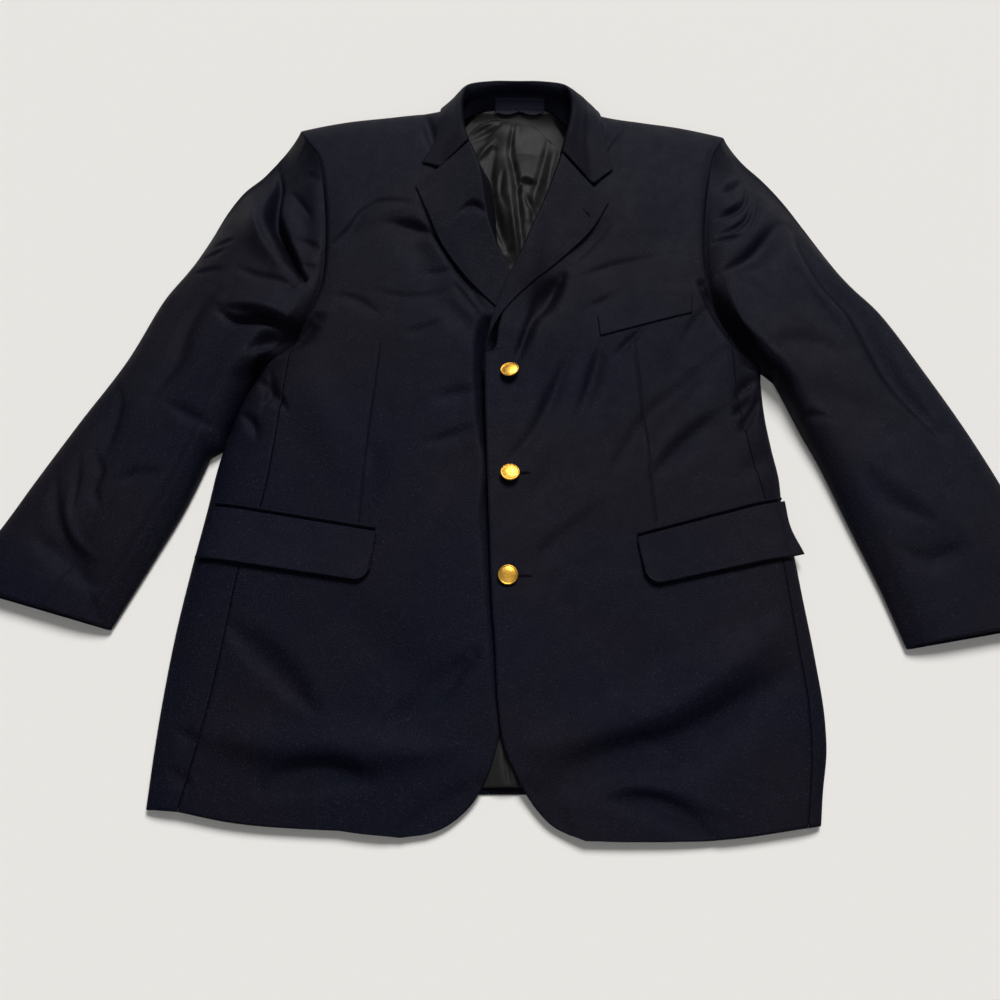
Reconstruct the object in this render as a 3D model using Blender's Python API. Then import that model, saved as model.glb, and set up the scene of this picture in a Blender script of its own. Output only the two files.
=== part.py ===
"""A navy single-breasted blazer laid flat, front up: shell panels, two-piece sleeves, notched
collar and lapels, flap pockets, chest welt, back lining, neck label and three shank buttons.

The collar points along +Y, +Z is up and the table is z = 0. Right and left are the wearer's, so
the right front lies at -X and the left front laps over it. Lengths are millimetres until cloth()
and button() turn them into metres. Each wall is modelled by its outer face and thickened inwards.
"""

import math

import bpy
import numpy as np

MM = 0.001
MIDDLE = (8.0, 106.5)  # centre of the whole garment's outline, which becomes the origin

WOOL = 1.6  # shell cloth with its interlining
FACING = 1.3  # turned lapel and collar cloth
LINING = 1.0
SEAM = 0.3  # gap between two pieces that are sewn together
LAY = 0.7  # gap under a piece that lies on another

SIGN = {"right": -1, "left": 1}

# Height of the top face over the table down the middle of each front.
LOFT = (  # y, height
    (-345, 8), (-250, 10), (-100, 13.5), (0, 16.5), (100, 20.5), (200, 26), (300, 31), (400, 36.5),
    (450, 38), (530, 38),
)
FOLD_MID = 4.0  # height of the outermost line of a side or sleeve fold
FOLD_TURN = 6.0  # how far in the cloth has turned flat under a fold
FOLD_REACH = ((-345, 26), (-100, 36), (60, 46), (160, 56), (260, 60))  # y, width of the rounding
SHOULDER_MID, SHOULDER_REACH, SHOULDER_TURN = 14.0, 45.0, 30.0
SHOULDER_SEAM_ANGLE = 20.0  # degrees above the outermost line at which the shoulder seam runs
NECK_EDGE_ANGLE = -40.0  # the same for the back neck seam
NECK_CENTRE, NECK_HALF, NECK_SPREAD = 20.0, 46.0, 28.0
CURL_SHARES = (0.0, 0.41, 0.64, 0.82, 1.0)  # rows of the back from its flat part to the shoulder seam

SEAM_ROWS = 13  # points on the long seams, which both of their pieces share
ARMHOLE_ROWS = 12  # points on the front's part of the armhole
ARMHOLE_BACK_ROWS = 7  # and on the back's flat part
SIDE_TOP = (1.0, 0.6, 0.32, 0.13, 0.03)  # columns of the side panel from the front seam to its fold
SIDE_UNDER = (0.03, 0.15, 0.5, 1.0)  # and on to the back seam

SIDE_EDGE = {  # y, distance out from x = 0 of the side fold
    "right": (
        (-345, 320), (-310, 319.5), (-257, 319), (-200, 317), (-141, 313), (-78, 306), (-13, 297.5),
        (38, 291.5), (75, 284), (116, 272.5), (150, 259), (200, 275), (300, 330), (540, 400),
    ),
    "left": (
        (-345, 284), (-325, 288), (-297, 293), (-257, 301.5), (-229, 303.5), (-171, 301.5), (-110, 297),
        (-46, 292), (-13, 287.5), (21, 287.5), (56, 283.5), (92, 280.5), (116, 280), (150, 282),
        (200, 300), (300, 345), (540, 420),
    ),
}
FRONT_SEAM = {  # y, distance out of the seam between front and side panel
    "right": (
        (-345, 295), (-312, 290), (-229, 275), (-152, 265), (-85, 258), (-14, 242), (110, 230), (200, 224),
    ),
    "left": (
        (-345, 272), (-325, 276), (-257, 287), (-210, 289), (-161, 286), (-110, 283), (-80, 281), (-8, 270),
        (52, 259), (110, 253), (200, 254),
    ),
}
BACK_SEAM = ((-345, 205), (-100, 195), (20, 190), (150, 205), (240, 212))  # y, distance out, underneath
SIDE_HEM = {"right": -310.5, "left": -325.0}  # y of the hem at the side folds
CENTRE_BACK = ((-345, -12), (-100, -4), (100, 2), (300, 10), (450, 17), (540, 20))  # y, x

SHOULDER_OUT = (  # x, y of the outermost line over shoulders and back neck
    (-260, 470), (-240, 477), (-192, 490), (-119, 501), (-75, 508), (-45, 519), (-10, 527), (20, 529),
    (50, 527), (85, 517), (122, 501), (170, 491), (213, 483), (250, 473), (275, 465),
)
ARMHOLE_FRONT = {  # from the shoulder seam down to the underarm: out, y
    "right": (
        (237, 469), (225, 445), (211, 422), (202, 374), (197, 320), (196, 282), (198, 251), (206, 220),
        (216, 198), (228, 179), (243, 162), (259, 150),
    ),
    "left": (
        (265, 459), (256, 440), (248, 422), (240, 387), (234, 347), (230, 308), (229, 276), (232, 246),
        (240, 216), (252, 191), (266, 166), (282, 150),
    ),
}
ARMHOLE_BACK = {  # the same, underneath
    "right": (
        (243, 448), (224, 428), (212, 390), (206, 330), (206, 260), (214, 205), (236, 166), (259, 150),
    ),
    "left": (
        (266, 440), (250, 420), (240, 385), (234, 330), (232, 262), (240, 205), (260, 166), (282, 150),
    ),
}
FRONT_SEAM_TOP = {"right": 0.865, "left": 0.83}  # share of the front armhole where that seam ends
BACK_SEAM_TOP = {"right": 0.74, "left": 0.74}

HEM = {  # from the front corner to the side seam: out, y
    "right": ((89, -335), (178, -331), (258, -323.5), (291, -313)),
    "left": ((76, -338), (133, -339), (219, -337), (277, -327)),
}
FRONT_EDGE = {  # from the hem up round the cutaway to where the lapel breaks: x, y
    "right": (
        (-89, -335), (-62, -331), (-46, -324), (-30, -311), (-20, -298), (-9, -275), (0, -244), (12, -205),
        (20, -150), (22, -60), (22, 60), (22, 150), (21, 184),
    ),
    "left": (
        (76, -338), (58, -331), (45.6, -324), (33, -311), (24, -298), (12, -276), (2.8, -253), (-2.8, -211),
        (-5, -163), (-8, -113), (-9, -60), (-9.5, 20), (-11, 100), (-12, 150), (-10, 183),
    ),
}
LAPEL_ROLL = {  # from the break up to the gorge: x, y
    "right": (
        (21, 189), (19, 212), (16, 236), (12, 258), (8, 275), (0, 292), (-7, 314), (-13, 338), (-17, 370),
        (-21, 399), (-28, 424), (-34, 440),
    ),
    "left": (
        (-11, 187), (-6, 206), (1, 230), (12, 262), (23, 286), (36, 323), (50, 360), (60, 390), (70, 422),
    ),
}
LAPEL_EDGE = {  # the lapel's free edge beside it, ending at the lapel point: x, y
    "right": ((18, 189), (-4, 219), (-19, 235), (-40, 261), (-66, 303), (-83, 345), (-97, 379)),
    "left": ((-8, 186), (0, 203), (17, 228), (50, 264), (80, 293), (104, 321), (124, 356)),
}
ROLL_LIFT = ((0, 2.2), (0.3, 3.0), (0.5, 5.5), (0.8, 7.8), (1, 9))  # share of the roll, height
ROLL_FOOT = ((0, 0.4), (0.35, 0.0), (0.6, -3.0), (1, -3.5))  # the same for the start of the facing
ROLL_ROUND = ((0, 1.8), (0.4, 3.0), (1, 5.0))  # the same, how far in the roll is rounded
LAPEL_ROWS = 15
LAPEL_COLUMNS = (0.12, 0.26, 0.42, 0.56, 0.70, 0.85, 1.0)  # shares of the way from the roll to the edge
FRONT_INSET = 9.0  # from the roll line back to the front's own edge
FRONT_NECK = {  # and that edge on from there to the shoulder seam
    "right": ((-53, 462), (-59, 484), (-58, 502)),
    "left": ((92, 450), (99, 478), (99, 500)),
}

# Collar sections from the right gorge round the neck to the left one. Each point is x, y, z.
COLLAR = (  # seam to the stand, inside of the roll, top of the roll, middle of the fall, free edge
    ((-45, 438, 33.5), (-34, 441.5, 37.5), (-38, 438.3, 47.0), (-69.2, 406.0, 40.0), (-90.3, 412.6, 39.0)),
    ((-50, 458, 33.5), (-40, 459, 38.5), (-44, 458, 48.5), (-60, 450, 46.0), (-77, 441, 41.5)),
    ((-51, 484, 30.0), (-43, 485, 36.5), (-47, 486, 47.0), (-60, 484, 46.0), (-72, 480, 42.0)),
    ((-46, 508, 24.0), (-43, 508, 34.0), (-45, 512, 43.5), (-57, 516, 33.0), (-68, 517, 19.5)),
    ((-34, 523, 22.5), (-36, 527, 31.5), (-38, 535, 37.0), (-45, 541, 20.0), (-46, 535, 5.0)),
    ((-8, 531, 24.5), (-9, 535, 32.0), (-10, 541.5, 36.0), (-11, 551, 19.0), (-9, 539, 2.0)),
    ((20, 533, 25.0), (20, 537, 32.5), (20, 541.5, 36.0), (20, 552, 19.0), (20, 540, 2.0)),
    ((48, 531, 24.5), (50, 535, 32.0), (51, 541, 36.0), (52, 551, 19.0), (50, 539, 2.0)),
    ((75, 523, 22.5), (77, 526, 31.5), (77, 535, 37.0), (86, 541, 20.0), (89, 535, 5.0)),
    ((86, 507, 24.0), (83, 507, 34.0), (86, 512, 43.5), (102, 516, 33.0), (115, 513, 19.5)),
    ((90, 478, 30.0), (82, 479, 36.5), (86, 481, 47.0), (105, 476, 46.0), (121, 470, 42.0)),
    ((86, 448, 33.5), (76, 450, 38.5), (80, 449, 48.5), (103, 441, 46.0), (125, 430, 41.5)),
    ((80, 420.5, 33.5), (69, 423.5, 37.5), (74, 420.3, 47.0), (106.2, 381.0, 40.0), (130.4, 401.8, 39.0)),
)
STAND_FOOT = (  # neck seam under the collar sections between the two shoulders
    (-52, 502, 17), (-46, 510, 14), (-34, 517, 10.5), (-8, 521.5, 9), (20, 522.5, 9), (48, 521.5, 9),
    (73, 517, 11.5), (84, 510, 14.5), (92, 501, 17),
)
STAND_SPAN = (0.23, 0.77)  # share of the collar that has a stand below it

SLEEVE_OUTER = {  # elbow fold from the shoulder to the cuff: out, y
    "right": (
        (240, 466), (262, 446), (281, 419), (300, 398), (316, 369), (333, 325), (352, 283), (374, 242),
        (404, 164), (443, 89), (478, 19), (503, -33), (537, -94),
    ),
    "left": (
        (268, 458), (288, 441), (308, 418), (330, 384), (350, 345), (371, 303), (394, 262), (422, 222),
        (460, 145), (493, 71), (521, -4), (541, -70), (553, -131),
    ),
}
SLEEVE_INNER = {  # underarm fold from the armhole to the cuff: out, y
    "right": (
        (259, 150), (268, 147), (276, 133), (285, 106), (295, 72), (304, 37), (321, -14), (342, -63),
        (377, -141),
    ),
    "left": (
        (282, 150), (291, 146), (298, 128), (306, 105), (317, 73), (331, 37), (352, -30), (373, -95),
        (391, -160),
    ),
}
SLEEVE_LOFT = ((0, 34), (0.12, 36), (0.3, 30), (0.5, 24), (0.75, 19), (1, 14))  # share down, height
CAP_BLEND = 0.42  # share down the sleeve over which the armhole's shape fades out, at the elbow fold
CAP_BLEND_LESS = 0.8  # how much of that is taken off at the underarm

# Soft ridges (positive) and troughs (negative) of the laid cloth.
FOLDS = (  # x0, y0, x1, y1, bow to the left of that direction, half width, height
    (-205, 285, -105, 352, 18, 14, 3.5),  # right chest, towards the armhole
    (-120, 330, -75, 250, 8, 14, -3.5),  # hollow beside the right lapel
    (-70, 232, -25, 178, 4, 12, -3.0),
    (62, 270, 22, 178, -8, 15, -6.0),  # hollow beside the left lapel's roll
    (90, 250, 34, 120, -10, 16, 3.0),
    (205, 330, 110, 245, -10, 26, -3.0),  # left chest
    (215, 215, 150, 90, 8, 20, -3.0),  # from the left underarm
    (235, 150, 120, -10, 8, 24, 3.0),
    (60, 40, 24, -20, 0, 12, -2.5),  # pull lines at the middle button
    (-30, 60, -60, 5, 0, 14, -2.5),
    (110, 20, 40, -60, 6, 18, 2.5),
    (-215, 150, -150, 20, 0, 24, 2.5),
    (-150, -120, -40, -215, -8, 22, -3.0),  # skirts
    (-240, -150, -150, -260, 10, 28, 2.5),
    (70, -130, 190, -235, 8, 30, -3.0),
    (255, -150, 120, -270, 8, 26, 3.0),
    (250, 20, 283, 52, 0, 10, -3.0),  # creases at the left waist
    (248, 70, 278, 98, 0, 10, -2.5),
    (-250, 70, -283, 40, 0, 11, -3.0),
    (-262, 428, -214, 250, 14, 17, -10.0),  # deep trough in the right sleeve's head
    (-292, 400, -240, 268, 10, 17, 4.0),
    (-318, 258, -228, 232, -6, 17, 6.0),  # roll that lies across the right sleeve
    (-312, 222, -240, 196, -6, 14, -5.0),
    (-345, 280, -372, 180, 0, 18, -4.0),
    (-410, 110, -425, 20, 8, 18, -4.0),
    (-455, -40, -400, -90, 0, 18, -4.5),
    (318, 336, 256, 272, 14, 16, -5.0),  # trough under the left sleeve's head
    (286, 390, 252, 330, 10, 14, -3.0),
    (346, 320, 440, 100, 6, 18, -5.0),  # long trough beside the left elbow fold
    (318, 120, 400, 70, 6, 18, -4.0),
    (400, 30, 470, -60, 0, 24, 4.0),
)

FLAP = {  # corners of the hip pocket flaps, from the top front one round by the hem: x, y
    "right": ((-124, -42), (-131, -96), (-302.5, -69), (-291, -13)),
    "left": ((137, -48), (146, -100), (302, -65), (289, -6)),
}
FLAP_BOW = {"right": 0.0, "left": 3.5}  # how far the outer end is hollowed, beside the side fold
FLAP_CORNER = 13.0
FLAP_CLOTH = 2.0
JET = 5.0  # width of the piping over a flap
CHEST_WELT = ((108, 183), (209, 213), (211, 238), (106, 207))

LINING_HALF = ((-291, 62), (-100, 80), (100, 100), (300, 110), (400, 96), (470, 76), (498, 62), (517, 46))
LINING_ROWS = (-291, -275, -250, -215, -150, 0, 150, 225, 245, 517.5)  # y, the last stretch in equal steps
LINING_FOLDS = (  # the same columns as FOLDS, on the back lining
    (14, 500, 20, 300, -3, 6, 6.0),  # centre pleat
    (28, 470, 24, 290, -4, 5, -2.5),
    (-30, 478, 8, 500, 3, 6, 6.0),
    (-32, 455, -4, 480, 2, 5, -2.5),
    (60, 470, 34, 330, -8, 12, 7.0),
    (8, 380, 16, 262, -2, 10, 5.0),
    (-14, 400, 0, 330, 0, 8, 3.5),
    (52, 500, 74, 470, 0, 8, 5.0),
    (14, -268, 2, -200, 0, 5, 1.2),
)
LABEL_SIDES = (-1.5, 46.5)  # x
LABEL_PATH = ((529.2, 21.0), (525.5, 15.2), (521.6, 10.9), (518.0, 9.7), (514.5, 8.9))  # y, z
LABEL_SCALLOP = 0.22  # share of its length that the two lobes of its lower edge hang down

BUTTONS = (  # x, y, tilt away from the hem and towards the wearer's right, in degrees
    (10.6, 138.5, 15, 9),
    (10.2, 20, 9, 0),
    (7.8, -89, -13, 0),
)
BUTTON_SEGMENTS = 24
BUTTON_PROFILE = (  # radius, height over the cloth, from the shank's foot up to the dome's top
    (0, 0), (2.2, 0), (2.0, 3.4), (8.6, 4.0), (9.8, 4.9), (10.0, 5.7), (9.5, 6.4), (8.7, 6.5), (8.1, 6.2),
    (5.0, 7.1), (0, 7.7),
)

MATERIALS = {  # base colour, roughness, metallic
    "navy_wool": ((0.012, 0.014, 0.026), 0.82, 0.0),
    "black_lining": ((0.045, 0.045, 0.048), 0.42, 0.0),
    "label_satin": ((0.020, 0.024, 0.055), 0.55, 0.0),
    "gold": ((0.83, 0.55, 0.16), 0.26, 1.0),
}


def smooth(table, key):
    """The value at key of a smooth curve through a table's rows, which start with their key."""
    rows = np.array(table, float)
    x, y = rows[:, 0], rows[:, 1]
    key = np.clip(np.asarray(key, float), x[0], x[-1])
    slope = np.gradient(y, x)
    i = np.clip(np.searchsorted(x, key) - 1, 0, len(x) - 2)
    h = x[i + 1] - x[i]
    t = (key - x[i]) / h
    return (
        (2 * t**3 - 3 * t**2 + 1) * y[i] + (t**3 - 2 * t**2 + t) * h * slope[i]
        + (3 * t**2 - 2 * t**3) * y[i + 1] + (t**3 - t**2) * h * slope[i + 1]
    )


class Curve:
    """A smooth curve through points, read by its share of the whole length."""

    STEPS = 16  # between two of the points

    def __init__(self, points):
        p = np.array(points, float)
        p = np.vstack([2 * p[0] - p[1], p, 2 * p[-1] - p[-2]])
        knots = np.concatenate([[0], np.cumsum(np.linalg.norm(np.diff(p, axis=0), axis=1) ** 0.5)])
        dense = [p[1]]
        for i in range(1, len(p) - 2):
            for t in np.linspace(knots[i], knots[i + 1], self.STEPS + 1)[1:]:
                dense.append(self._at(p[i - 1:i + 3], knots[i - 1:i + 3], t))
        self.line = np.array(dense)
        length = np.concatenate([[0], np.cumsum(np.linalg.norm(np.diff(self.line, axis=0), axis=1))])
        self.length = length[-1]
        self.share = length / self.length

    @staticmethod
    def _at(p, k, t):
        """Centripetal Catmull-Rom between the middle two of four points."""
        a = [((k[i + 1] - t) * p[i] + (t - k[i]) * p[i + 1]) / (k[i + 1] - k[i]) for i in range(3)]
        b = [((k[i + 2] - t) * a[i] + (t - k[i]) * a[i + 1]) / (k[i + 2] - k[i]) for i in range(2)]
        return ((k[2] - t) * b[0] + (t - k[1]) * b[1]) / (k[2] - k[1])

    def at(self, share):
        share = np.asarray(share, float)
        return np.stack([np.interp(share, self.share, c) for c in self.line.T], axis=-1)


def side_of(x):
    return np.where(np.asarray(x) < 0, -1, 1)


def by_side(tables, x, y):
    """A table of distances out, read on the side that each x lies on."""
    return np.where(side_of(x) < 0, smooth(tables["right"], y), smooth(tables["left"], y))


def rounding(distance, reach):
    """0 at a fold's outermost line, rising as a quarter ellipse to 1 at its reach."""
    t = np.clip(distance / reach, 0, 1)
    return np.sqrt(1 - (1 - t) ** 2)


def relief(folds, x, y):
    """Height that soft ridges and troughs add at x, y."""
    total = np.zeros(np.broadcast(x, y).shape)
    for x0, y0, x1, y1, bow, half_width, height in folds:
        length = math.hypot(x1 - x0, y1 - y0)
        ux, uy = (x1 - x0) / length, (y1 - y0) / length
        along = ((x - x0) * ux + (y - y0) * uy) / length
        across = -(x - x0) * uy + (y - y0) * ux - bow * (1 - (2 * np.clip(along, 0, 1) - 1) ** 2)
        past = np.maximum(np.maximum(-along, along - 1), 0) * length / half_width
        taper = 0.35 + 0.65 * np.sin(math.pi * np.clip(along, 0, 1))
        total = total + height * taper * np.exp(-(across / half_width) ** 2 - past**2)
    return total


def body_top(x, y):
    """Height of the outer face of the laid body at x, y, apart from what laps over it."""
    x, y = np.asarray(x, float), np.asarray(y, float)
    over_shoulder = rounding(smooth(SHOULDER_OUT, x) - y, SHOULDER_REACH)
    crest = SHOULDER_MID + (smooth(LOFT, y) - SHOULDER_MID) * over_shoulder
    top = np.where(y > 300, crest, smooth(LOFT, y))
    side = rounding(by_side(SIDE_EDGE, x, y) - np.abs(x), smooth(FOLD_REACH, y))
    return FOLD_MID + (top - FOLD_MID + relief(FOLDS, x, y) * over_shoulder) * side


def body_under(x, y):
    """Height of the outer face underneath: the table, rising at the sides and the shoulders."""
    side = FOLD_MID * (1 - rounding(by_side(SIDE_EDGE, x, y) - np.abs(x), FOLD_TURN))
    shoulder = SHOULDER_MID * (1 - rounding(smooth(SHOULDER_OUT, x) - y, SHOULDER_TURN))
    return np.maximum(side, shoulder)


def overlap(x, y):
    """How much the left front stands over body_top where the right front lies under it."""
    t = np.clip((x - 34) / 26, 0, 1)
    inside = 1 - t**2 * (3 - 2 * t)
    rise = WOOL + LAY + 0.4 + 3.6 * np.clip((y - 140) / 50, 0, 1) ** 2
    fade = 1 - np.clip((y - 290) / 70, 0, 1)
    return rise * inside * fade * np.clip((y + 400) / 140, 0, 1)


def front_top(side, x, y):
    return body_top(x, y) + (overlap(x, y) if side == "left" else 0)


def surface_normals(height, x, y, step=0.4):
    """Unit normals, facing up, of the surface z = height(x, y)."""
    dx = (height(x + step, y) - height(x - step, y)) / (2 * step)
    dy = (height(x, y + step) - height(x, y - step)) / (2 * step)
    return unit(np.stack([-dx, -dy, np.ones_like(dx)], axis=-1))


def unit(vectors):
    return vectors / np.linalg.norm(vectors, axis=-1, keepdims=True)


def grid_normals(grid, towards):
    """Unit normals of a grid of points, on the side that faces towards at its middle."""
    down, across = (np.gradient(grid, axis=axis, edge_order=2) for axis in (0, 1))
    normals = unit(np.cross(down, across))
    middle = normals[grid.shape[0] // 2, grid.shape[1] // 2]
    return normals if middle @ np.array(towards, float) > 0 else -normals


def cloth(name, outer, thickness, normals, material):
    """A wall whose outer face runs through a grid of points, thickened against its normals."""
    rows, columns, _ = outer.shape
    count = rows * columns
    inner = outer - normals * thickness
    points = np.concatenate([outer.reshape(-1, 3), inner.reshape(-1, 3)])
    points[:, 2] = np.maximum(points[:, 2], 0)
    points = (points - np.array([*MIDDLE, 0])) * MM
    index = np.arange(count).reshape(rows, columns)
    top = np.stack([index[:-1, :-1], index[1:, :-1], index[1:, 1:], index[:-1, 1:]], axis=-1).reshape(-1, 4)
    i, j = rows // 2, columns // 2
    facing = np.cross(outer[i, j] - outer[i - 1, j], outer[i, j] - outer[i, j - 1])
    if facing @ normals[i, j] < 0:
        top = top[:, ::-1]
    # Both faces of the wall are split along the same diagonal, the shorter one.
    corners = outer.reshape(-1, 3)[top]
    diagonals = np.linalg.norm(corners[:, :2] - corners[:, 2:], axis=2)
    split = np.where(diagonals[:, 1:] < diagonals[:, :1], np.roll(top, -1, axis=1), top)
    triangles = np.concatenate([split[:, [0, 1, 2]], split[:, [0, 2, 3]]])
    rim = np.concatenate([index[:-1, 0], index[-1, :-1], index[:0:-1, -1], index[0, :0:-1]])
    after = np.roll(rim, -1)
    first = top[0].tolist()
    along = [index[0, 0], index[1, 0]]
    if first.index(along[1]) == (first.index(along[0]) + 1) % 4:
        rim, after = after, rim
    sides = np.stack([rim, after, after + count, rim + count], axis=-1)
    mesh = bpy.data.meshes.new(name)
    faces = [*triangles.tolist(), *(triangles[:, ::-1] + count).tolist(), *sides.tolist()]
    mesh.from_pydata(points.tolist(), [], faces)
    mesh.materials.append(material)
    mesh.shade_smooth()
    obj = bpy.data.objects.new(name, mesh)
    bpy.context.scene.collection.objects.link(obj)
    return obj


def with_height(plan, heights):
    return np.concatenate([plan, np.asarray(heights)[..., None]], axis=-1)


def out_curve(side, rows):
    """A curve through (out, y) rows, as x and y."""
    return Curve([(SIGN[side] * out, y) for out, y in rows])


def beside(plan, distance):
    """Plan points moved to the left of their direction."""
    ahead = unit(np.gradient(plan, axis=0))
    return plan + distance * np.stack([-ahead[:, 1], ahead[:, 0]], axis=-1)


def shoulder_point(x, angle):
    """The outer face over the shoulder, at an angle above its outermost line."""
    x = np.asarray(x, float)
    angle = np.radians(angle)
    inward = np.where(angle > 0, SHOULDER_REACH, SHOULDER_TURN) * (1 - np.cos(angle))
    y = smooth(SHOULDER_OUT, x) - inward
    over = (smooth(LOFT, y) - SHOULDER_MID) * np.sin(np.maximum(angle, 0))
    under = SHOULDER_MID * np.sin(np.minimum(angle, 0))
    return np.stack([x, y, SHOULDER_MID + over + under], axis=-1)


def shoulder_normal(x, angle):
    angle = np.radians(angle) + 0 * x
    depth = np.where(angle > 0, SHOULDER_REACH, SHOULDER_TURN)
    height = np.where(angle > 0, smooth(LOFT, 470) - SHOULDER_MID, SHOULDER_MID)
    along_y, along_z = np.cos(angle) / depth, np.sin(angle) / height
    slope = (smooth(SHOULDER_OUT, x + 1) - smooth(SHOULDER_OUT, x - 1)) / 2
    return unit(np.stack([-slope * along_y, along_y, along_z], axis=-1))


def curl_angles(x):
    """Angle of the back's upper edge at x: the neck seam in the middle and the shoulder seam beside it."""
    t = np.clip((np.abs(np.asarray(x, float) - NECK_CENTRE) - NECK_HALF) / NECK_SPREAD, 0, 1)
    return NECK_EDGE_ANGLE + (SHOULDER_SEAM_ANGLE - NECK_EDGE_ANGLE) * t * t * (3 - 2 * t)


class Armhole:
    """The points that body and sleeve share, from the shoulder seam down each way to the underarm."""

    def __init__(self, side):
        sign = SIGN[side]
        front = out_curve(side, ARMHOLE_FRONT[side])
        back = out_curve(side, ARMHOLE_BACK[side])
        top, under = FRONT_SEAM_TOP[side], BACK_SEAM_TOP[side]
        past = 1 - (1 - top) * np.array([*SIDE_TOP[1:], 0])
        shares = np.concatenate([np.linspace(0, top, ARMHOLE_ROWS), past])
        plan = front.at(shares)
        over = with_height(plan, body_top(plan[:, 0], plan[:, 1]))
        over[0] = shoulder_point(plan[0, 0], SHOULDER_SEAM_ANGLE)
        inside = plan - np.array([sign * 0.8, 0])
        over_normals = surface_normals(body_top, inside[:, 0], inside[:, 1])
        over_normals[-1] = unit(np.array([sign, 0.0, 0.15]))
        past = 1 - (1 - under) * np.array(SIDE_UNDER[2::-1])
        shares = np.concatenate([np.linspace(0, under, ARMHOLE_BACK_ROWS), past])
        plan = back.at(shares)
        below = with_height(plan, body_under(plan[:, 0], plan[:, 1]))
        below_normals = np.tile([0.0, 0.0, -1.0], (len(plan), 1))
        below_normals[-1] = unit(np.array([sign * 0.9, 0.0, -0.6]))
        below_normals[-2] = unit(np.array([sign * 0.3, 0.0, -1.0]))
        angles = -90 + (SHOULDER_SEAM_ANGLE + 90) * np.array(CURL_SHARES[1:-1])
        x = np.linspace(below[0, 0], over[0, 0], len(CURL_SHARES))[1:-1]
        curl, curl_normals = shoulder_point(x, angles), shoulder_normal(x, angles)
        below[0] = shoulder_point(below[0, 0], -90)
        over_normals[0] = shoulder_normal(over[0, 0], SHOULDER_SEAM_ANGLE)
        # One loop: up the back's curl, over the shoulder, down the front and back underneath.
        self.points = np.vstack([below[:1], curl, over, below[:0:-1]])
        self.normals = np.vstack([below_normals[:1], curl_normals, over_normals, below_normals[:0:-1]])
        around = np.roll(self.points, -1, axis=0) - np.roll(self.points, 1, axis=0)
        apart = unit(np.cross(around, self.normals))
        self.apart = apart * np.where(apart[:, :1] * sign + apart[:, 1:2] * 0.3 < 0, -1, 1)
        self.shoulder = len(CURL_SHARES) - 1
        self.corner = self.shoulder + ARMHOLE_ROWS - 1
        self.underarm = self.corner + len(SIDE_TOP)
        self.back_corner = self.underarm + len(SIDE_UNDER)

    def edge(self, first, last, away):
        """Points and normals from one place to another, on the body's (-1) or the sleeve's (1) side."""
        index = np.arange(first, last + 1) if last >= first else np.arange(first, last - 1, -1)
        index = index % len(self.points)
        return self.points[index] + away * SEAM / 2 * self.apart[index], self.normals[index]


def long_seam(side, table, hem_y, top, away):
    """Points of a seam of the side panel from the hem up to its end on the armhole."""
    y = np.linspace(hem_y, top[1], 40)
    out = smooth(table, y)
    out += (abs(top[0]) - out[-1]) * np.clip((y + 20) / (top[1] + 20), 0, 1) ** 2
    line = Curve(np.stack([SIGN[side] * out, y], axis=-1)).at(np.linspace(0, 1, SEAM_ROWS))
    return beside(line, away * SIGN[side] * SEAM / 2)


def back_hem(x):
    return -296.5 - 13.5 * (np.asarray(x, float) / 320) ** 2


BACK_SEAM_HEM = float(back_hem(BACK_SEAM[0][1]))


def front(side, armhole, material):
    """A front panel, from the hem to the shoulder seam and from its edge to side seam and armhole."""
    low_rows, columns = 15, 16
    arm, arm_normals = armhole.edge(armhole.corner, armhole.shoulder, -1)
    hem = out_curve(side, HEM[side])
    seam = long_seam(side, FRONT_SEAM[side], hem.line[-1][1], armhole.points[armhole.corner], 1)
    outer = np.vstack([seam[:-1], arm[:, :2]])
    edge = Curve(FRONT_EDGE[side])
    high = Curve([FRONT_EDGE[side][-1], *front_neck(side)])
    above = np.linspace(0, 1, len(outer) - low_rows + 1)[1:]
    inner = np.vstack([edge.at(np.linspace(0, 1, low_rows) ** 1.5), high.at(above)])
    across = np.linspace(0, 1, columns)[None, :, None]
    plan = inner[:, None] * (1 - across) + outer[:, None] * across
    share = np.linspace(0, 1, len(plan))[:, None]
    hem_row = hem.at(np.linspace(0, 1, columns))
    plan[:, :, 1] += (1 - share) ** 6 * (hem_row[:, 1] - plan[0, :, 1])
    top_row = shoulder_point(plan[-1, :, 0], SHOULDER_SEAM_ANGLE)
    plan[:, :, 1] += np.clip(share * 3 - 2, 0, 1) * (top_row[:, 1] - SEAM / 2 - plan[-1, :, 1])
    height = lambda x, y: front_top(side, x, y)
    grid = with_height(plan, height(plan[..., 0], plan[..., 1]))
    normals = surface_normals(height, plan[..., 0], plan[..., 1])
    grid[len(seam) - 1:-1, -1] = arm[:-1]
    normals[len(seam) - 1:, -1] = arm_normals
    normals[-1] = shoulder_normal(plan[-1, :, 0], SHOULDER_SEAM_ANGLE)
    return cloth(f"front_{side}", grid, WOOL, normals, material)


def front_neck(side):
    """Where the front's own edge lies inside the fold of lapel and collar, up to the shoulder seam."""
    return [*[(x + FRONT_INSET * SIGN[side], y) for x, y in LAPEL_ROLL[side]], *FRONT_NECK[side]]


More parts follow.
